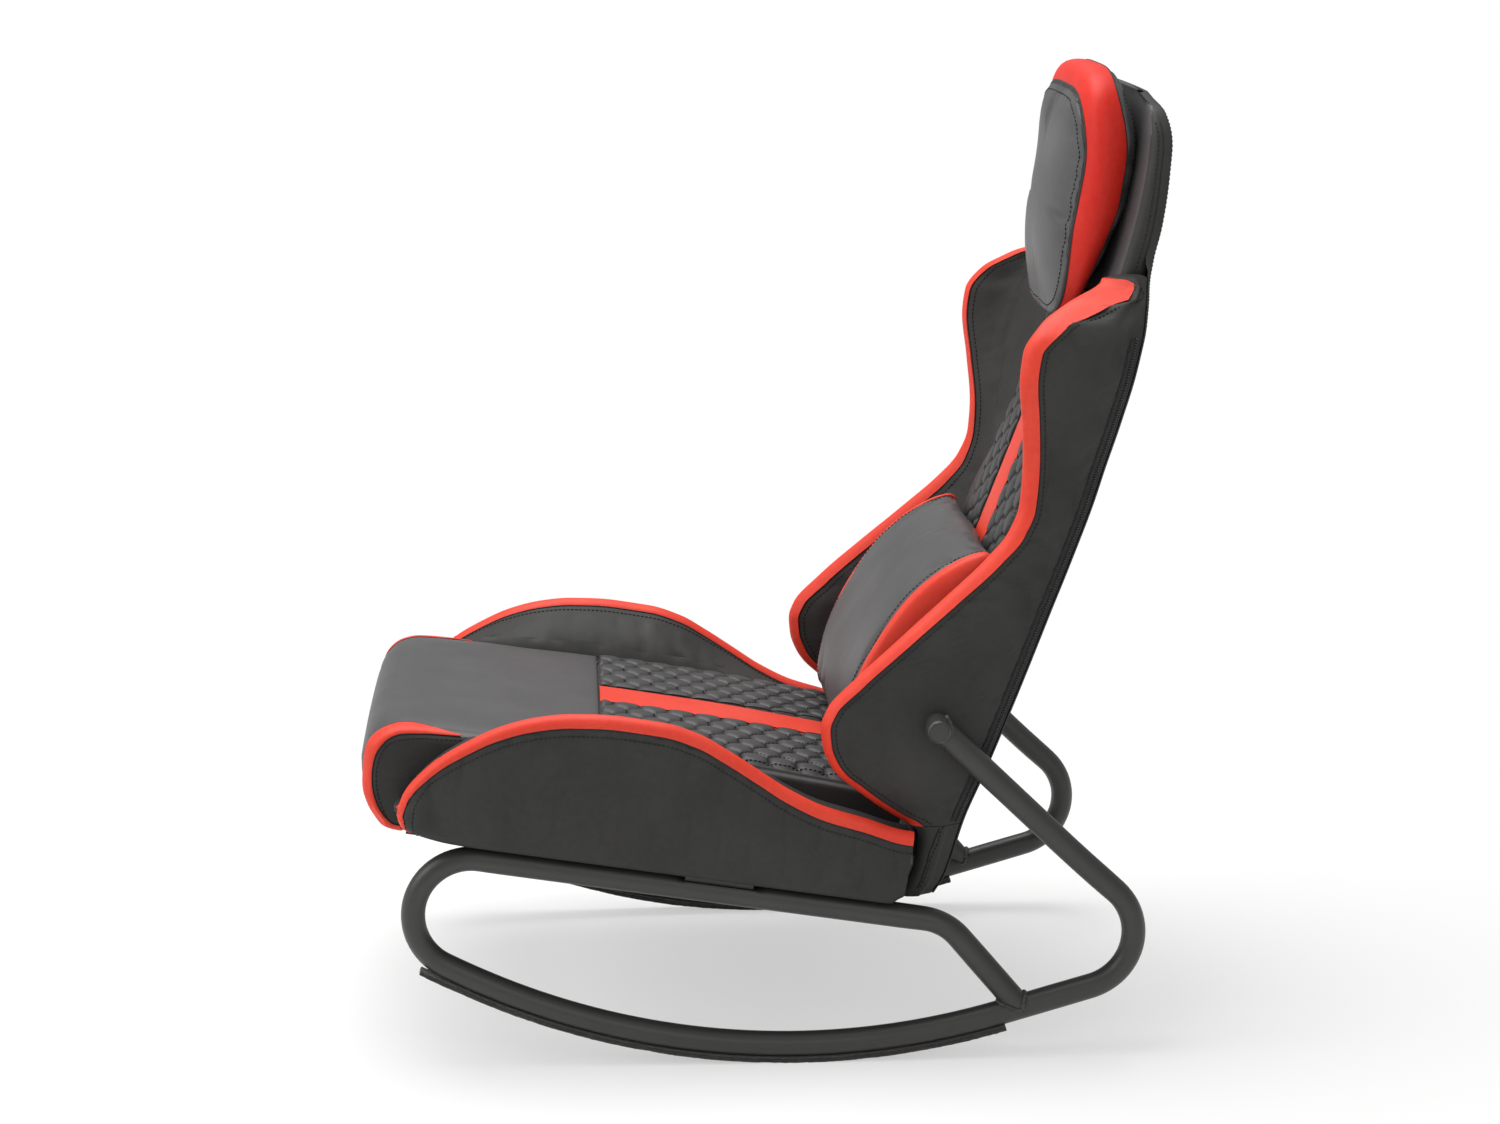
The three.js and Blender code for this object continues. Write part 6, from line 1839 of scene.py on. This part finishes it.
# place in the wing line, further out, further back, kind of sewing
WING_SEWING = (
    (4, 0.0, 0.2, seam_shade_runs), (4, 0.5, 5.0, stitch_runs),
    (0, 0.0, 0.2, seam_shade_runs), (0, -6.0, 4.0, stitch_runs))
teeth = []
for word, side in SIDES:
    skin = Skin(f"{word}_wing_cover")
    heights = heights_between(CORNER_TOP + 3, WING_TOP - 2, WING_STEP)
    for index, turn, back, runs in WING_SEWING:
        line = []
        for height in heights:
            edge, depth = wing_line(height)[index]
            line.append((side * (edge + turn), depth + back * crest_stretch(height), height))
        sew(runs, skin.lay(line, SEAM_LIFT))
    corner = Skin(f"{word}_corner_cover")
    for offset, runs in ((0.0, seam_shade_runs), (5.0, stitch_runs)):
        line = [(side * CORNER_SIDE, depth + offset, height) for depth, height in CORNER_SEAM]
        sew(runs, corner.lay(soft_path(line), SEAM_LIFT))
    zip_heights = np.linspace(CORNER_TOP + 4, ZIP_TOP, 130)
    rear = np.array([float(cover_inside(height)) for height in zip_heights])
    out = np.array([float(wing_edge(height)) + SHOULDER for height in zip_heights])
    rows = [[(side * (o - 3), r - ZIP_WIDTH + TAPE_EDGE, h), (side * (o - 10), r - TAPE_EDGE, h)]
            for o, r, h in zip(out, rear, zip_heights)]
    add_piece(f"{word}_zip_tape", strip_on(skin, rows, TAPE_THICK, TAPE_COLUMNS), tape_look,
              replaces=[f"{word}_back_zip"])
    middle = np.column_stack([side * (out - TEETH_IN), rear - ZIP_WIDTH / 2, zip_heights])
    teeth.append(skin.lay(even_path(middle, SEAM_STEP), TEETH_LIFT))
    for shift in (-ZIP_WIDTH + 1.0, -1.5):
        line = np.column_stack([side * (out - TEETH_IN - 0.5 * shift / 2), rear + shift, zip_heights])
        sew(seam_shade_runs, skin.lay(line, ZIP_LIFT))
print("wings stitched, zips laid")

# %% Stitches of the rear cover
RIM_INSET = 9.0
rear_skin = Skin("rear_cover")
rim = np.array([(rear_half(height) - RIM_INSET, float(rear_edge(height)) + 8, height)
                for height in np.linspace(BACK_BOTTOM + 14, BACK_TOP - 12, 90)])
around = np.vstack([rim, (rim * [-1, 1, 1])[::-1], rim[:1]])
sew(stitch_runs, rear_skin.lay(even_path(around, 4.0), SEAM_LIFT))
print("rear cover stitched")

# %% Stitches of the pillows
def closed_loop(ring):
    return np.vstack([ring, ring[:1]])


HEM_SHARES = np.linspace(0, 1, 6)
HEM_EDGE, HEM_DOME = 0.5, 0.9
head_skin, gusset_skin = Skin("head_pillow_cover"), Skin("head_gusset_cover")
for share in (0.015, 0.985):
    sew(seam_shade_runs, gusset_skin.lay(closed_loop(gusset_ring(share, 0.0)), 0.3), "head_pillow")
pillow_skin = Skin("head_pillow_cover", "head_gusset_cover")
face_edge, gusset_edge = even_ring(head_front(0.985)), gusset_ring(0.05, 0.0)
hem_rings = {t: face_edge * (1 - t) + gusset_edge * t for t in HEM_SHARES}
hem = [pillow_skin.lay(ring, HEM_EDGE + HEM_DOME * math.sin(t * math.pi)) for t, ring in hem_rings.items()]
hem += [pillow_skin.lay(hem_rings[t], STRIP_SUNK) for t in HEM_SHARES[::-1]]
section = np.stack(hem)
add_piece("head_pillow_hem", closed_ring_mesh([section[:, i] for i in range(HEAD_POINTS)]), black_leather,
          "head_pillow")
for ring in (even_ring(head_front(0.93)), even_ring(head_rear(0.9))):
    sew(stitch_runs, head_skin.lay(closed_loop(ring), SEAM_LIFT), "head_pillow")
lumbar_skin = Skin("lumbar_pillow_cover")
for _, side in SIDES:
    for share, runs in ((0.998 * LUMBAR_PANEL, seam_shade_runs), (0.962 * LUMBAR_PANEL, stitch_runs)):
        ring = lumbar_row(side * share, float(lumbar_scale(share)))
        sew(runs, lumbar_skin.lay(closed_loop(ring), CORD_LIFT), "lumbar_pillow")
print("pillows stitched")

# %% [markdown]
# ## Seams and stitches by Geometry Nodes
# The paths are edges in one mesh for each body. A node tree turns them into curves. One tree sweeps a thin,
# nearly black cord along each seam, which paints the shade in the seam's groove. The other sets a stitch on
# them at an even pitch and tips each one a little at random, with a fixed seed. A modifier array would need
# one object for each run, and particles would not keep the pitch.

# %% Node trees
def node_tree(name, sockets):
    """An empty tree with a mesh going in and out, and the named inputs."""
    tree = bpy.data.node_groups.new(name, "GeometryNodeTree")
    tree.interface.new_socket("Geometry", in_out="INPUT", socket_type="NodeSocketGeometry")
    for label, kind in sockets:
        tree.interface.new_socket(label, in_out="INPUT", socket_type=kind)
    tree.interface.new_socket("Geometry", in_out="OUTPUT", socket_type="NodeSocketGeometry")
    return tree, tree.nodes.new("NodeGroupInput"), tree.nodes.new("NodeGroupOutput")


def node(tree, kind, links=None, settings=None, values=None):
    """Add a node; links come from other sockets, values are constants."""
    made = tree.nodes.new(kind)
    for key, value in (settings or {}).items():
        setattr(made, key, value)
    for key, value in (values or {}).items():
        made.inputs[key].default_value = value
    for key, socket in (links or {}).items():
        tree.links.new(socket, made.inputs[key])
    return made


def painted_end(tree, last, given, result):
    """The end of every tree: real meshes with their material."""
    real = node(tree, "GeometryNodeRealizeInstances", {"Geometry": last.outputs[0]})
    painted = node(tree, "GeometryNodeSetMaterial",
                   {"Geometry": real.outputs[0], "Material": given.outputs["Thread"]})
    tree.links.new(painted.outputs[0], result.inputs[0])
    return tree


def stitch_tree():
    tree, given, result = node_tree("stitch_runs", [
        ("Pitch", "NodeSocketFloat"), ("Length", "NodeSocketFloat"), ("Radius", "NodeSocketFloat"),
        ("Wobble", "NodeSocketFloat"), ("Seed", "NodeSocketInt"), ("Thread", "NodeSocketMaterial")])
    curve = node(tree, "GeometryNodeMeshToCurve", {"Mesh": given.outputs["Geometry"]})
    spots = node(tree, "GeometryNodeCurveToPoints",
                 {"Curve": curve.outputs[0], "Length": given.outputs["Pitch"]}, {"mode": "LENGTH"})
    bead = node(tree, "GeometryNodeMeshUVSphere", None, None, {"Segments": 6, "Rings": 5, "Radius": 1.0})
    half = node(tree, "ShaderNodeMath", {0: given.outputs["Length"]}, {"operation": "MULTIPLY"}, {1: 0.5})
    radius = given.outputs["Radius"]
    size = node(tree, "ShaderNodeCombineXYZ", {0: radius, 1: radius, 2: half.outputs[0]})
    beads = node(tree, "GeometryNodeInstanceOnPoints", {
        "Points": spots.outputs["Points"], "Instance": bead.outputs["Mesh"],
        "Rotation": spots.outputs["Rotation"], "Scale": size.outputs[0]})
    least = node(tree, "ShaderNodeMath", {0: given.outputs["Wobble"]}, {"operation": "MULTIPLY"}, {1: -1.0})
    tip = node(tree, "FunctionNodeRandomValue",
               {0: least.outputs[0], 1: given.outputs["Wobble"], "Seed": given.outputs["Seed"]},
               {"data_type": "FLOAT_VECTOR"})
    tipped = node(tree, "GeometryNodeRotateInstances",
                  {"Instances": beads.outputs[0], "Rotation": tip.outputs[0]})
    return painted_end(tree, tipped, given, result)


# The dark cord along each seam is painted shade for the seam's groove.
def seam_shade_tree():
    tree, given, result = node_tree("seam_cords", [
        ("Radius", "NodeSocketFloat"), ("Thread", "NodeSocketMaterial")])
    curve = node(tree, "GeometryNodeMeshToCurve", {"Mesh": given.outputs["Geometry"]})
    ring = node(tree, "GeometryNodeCurvePrimitiveCircle", {"Radius": given.outputs["Radius"]},
                None, {"Resolution": 6})
    cord = node(tree, "GeometryNodeCurveToMesh",
                {"Curve": curve.outputs[0], "Profile Curve": ring.outputs[0]}, None, {"Fill Caps": True})
    return painted_end(tree, cord, given, result)


def path_mesh(name, runs):
    """All lines of sewing as the edges of one mesh."""
    points, edges = [], []
    for run in runs:
        start = len(points)
        points += ((run + [0, SHIFT, 0]) * MM).tolist()
        edges += [(start + i, start + i + 1) for i in range(len(run) - 1)]
    mesh = bpy.data.meshes.new(name)
    mesh.from_pydata(points, edges, [])
    return mesh


def grown(name, mesh, tree, values, body):
    """Run a node tree on a mesh once and keep the result as a plain piece."""
    piece = bpy.data.objects.new(name, mesh)
    scene.collection.objects.link(piece)
    modifier = piece.modifiers.new("grow", "NODES")
    modifier.node_group = tree
    for item in tree.interface.items_tree:
        if item.in_out == "INPUT" and item.name in values:
            modifier[item.identifier] = values[item.name]
    piece.update_tag()
    bpy.context.view_layer.update()
    made = bpy.data.meshes.new_from_object(piece.evaluated_get(bpy.context.evaluated_depsgraph_get()))
    piece.modifiers.clear()
    piece.data = made
    made.polygons.foreach_set("use_smooth", [True] * len(made.polygons))
    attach(piece, body)
    return piece


stitches_by_nodes, seam_shades_by_nodes = stitch_tree(), seam_shade_tree()


def grow_runs(title, runs, tree, values):
    total = 0
    for (body, thread_name), lines in runs.items():
        look = bpy.data.materials[thread_name]
        piece = grown(f"{body}_{title}", path_mesh(title, lines), tree, {**values, "Thread": look}, body)
        total += len(piece.data.polygons)
    print(title, total, "faces")


grow_runs("stitches", stitch_runs, stitches_by_nodes,
          {"Pitch": 4.6 * MM, "Length": 3.6 * MM, "Radius": 0.75 * MM, "Wobble": 0.06, "Seed": 11})
grow_runs("zip_teeth", {("frame", plastic_look.name): teeth}, stitches_by_nodes,
          {"Pitch": 2.6 * MM, "Length": 1.9 * MM, "Radius": 1.9 * MM, "Wobble": 0.0, "Seed": 13})
grow_runs("quilting_stitches", quilt_runs, stitches_by_nodes,
          {"Pitch": 4.1 * MM, "Length": 3.2 * MM, "Radius": 0.42 * MM, "Wobble": 0.08, "Seed": 12})
# The seam cords are dark lines of painted shade along the seams.
grow_runs("seams", seam_shade_runs, seam_shades_by_nodes, {"Radius": 0.7 * MM})
# %% [markdown]
# ## Parts that keep their CAD shape
# The steel inside the chair, its board and its straps are right as they are drawn. They get the
# same finishes as the dressed pieces, in their own material slots.

# %% Finishes for the CAD parts
finish_of = {
    "front_cross_bar": tube_paint, "seat_cross_plate": tube_paint, "seat_board": tape_look,
    "back_frame": tube_paint, "back_cross_tube": tube_paint,
    "head_patch": tape_look, "lumbar_patch": tape_look,
}
for number in range(1, 5):
    finish_of[f"seat_screw_{number}"] = steel_look
    finish_of[f"back_strap_{number}"] = tape_look
for word, _ in SIDES:
    finish_of.update({
        f"{word}_side_bracket": tube_paint, f"{word}_foot_bracket": tube_paint,
        f"{word}_back_bolt": steel_look,
        f"{word}_sleeve_cap": plastic_look, f"{word}_cover_grommet": plastic_look,
    })
for name, look in finish_of.items():
    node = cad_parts[name]
    node.data.materials.clear()
    node.data.materials.append(look)
print(len(finish_of), "CAD parts finished")

# %% Sizes for the record
low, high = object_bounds()
for title, top, bottom in (("visual", high, low), ("CAD", cad_high, cad_low)):
    print(title, "box", [round(a - b, 4) for a, b in zip(top, bottom)])
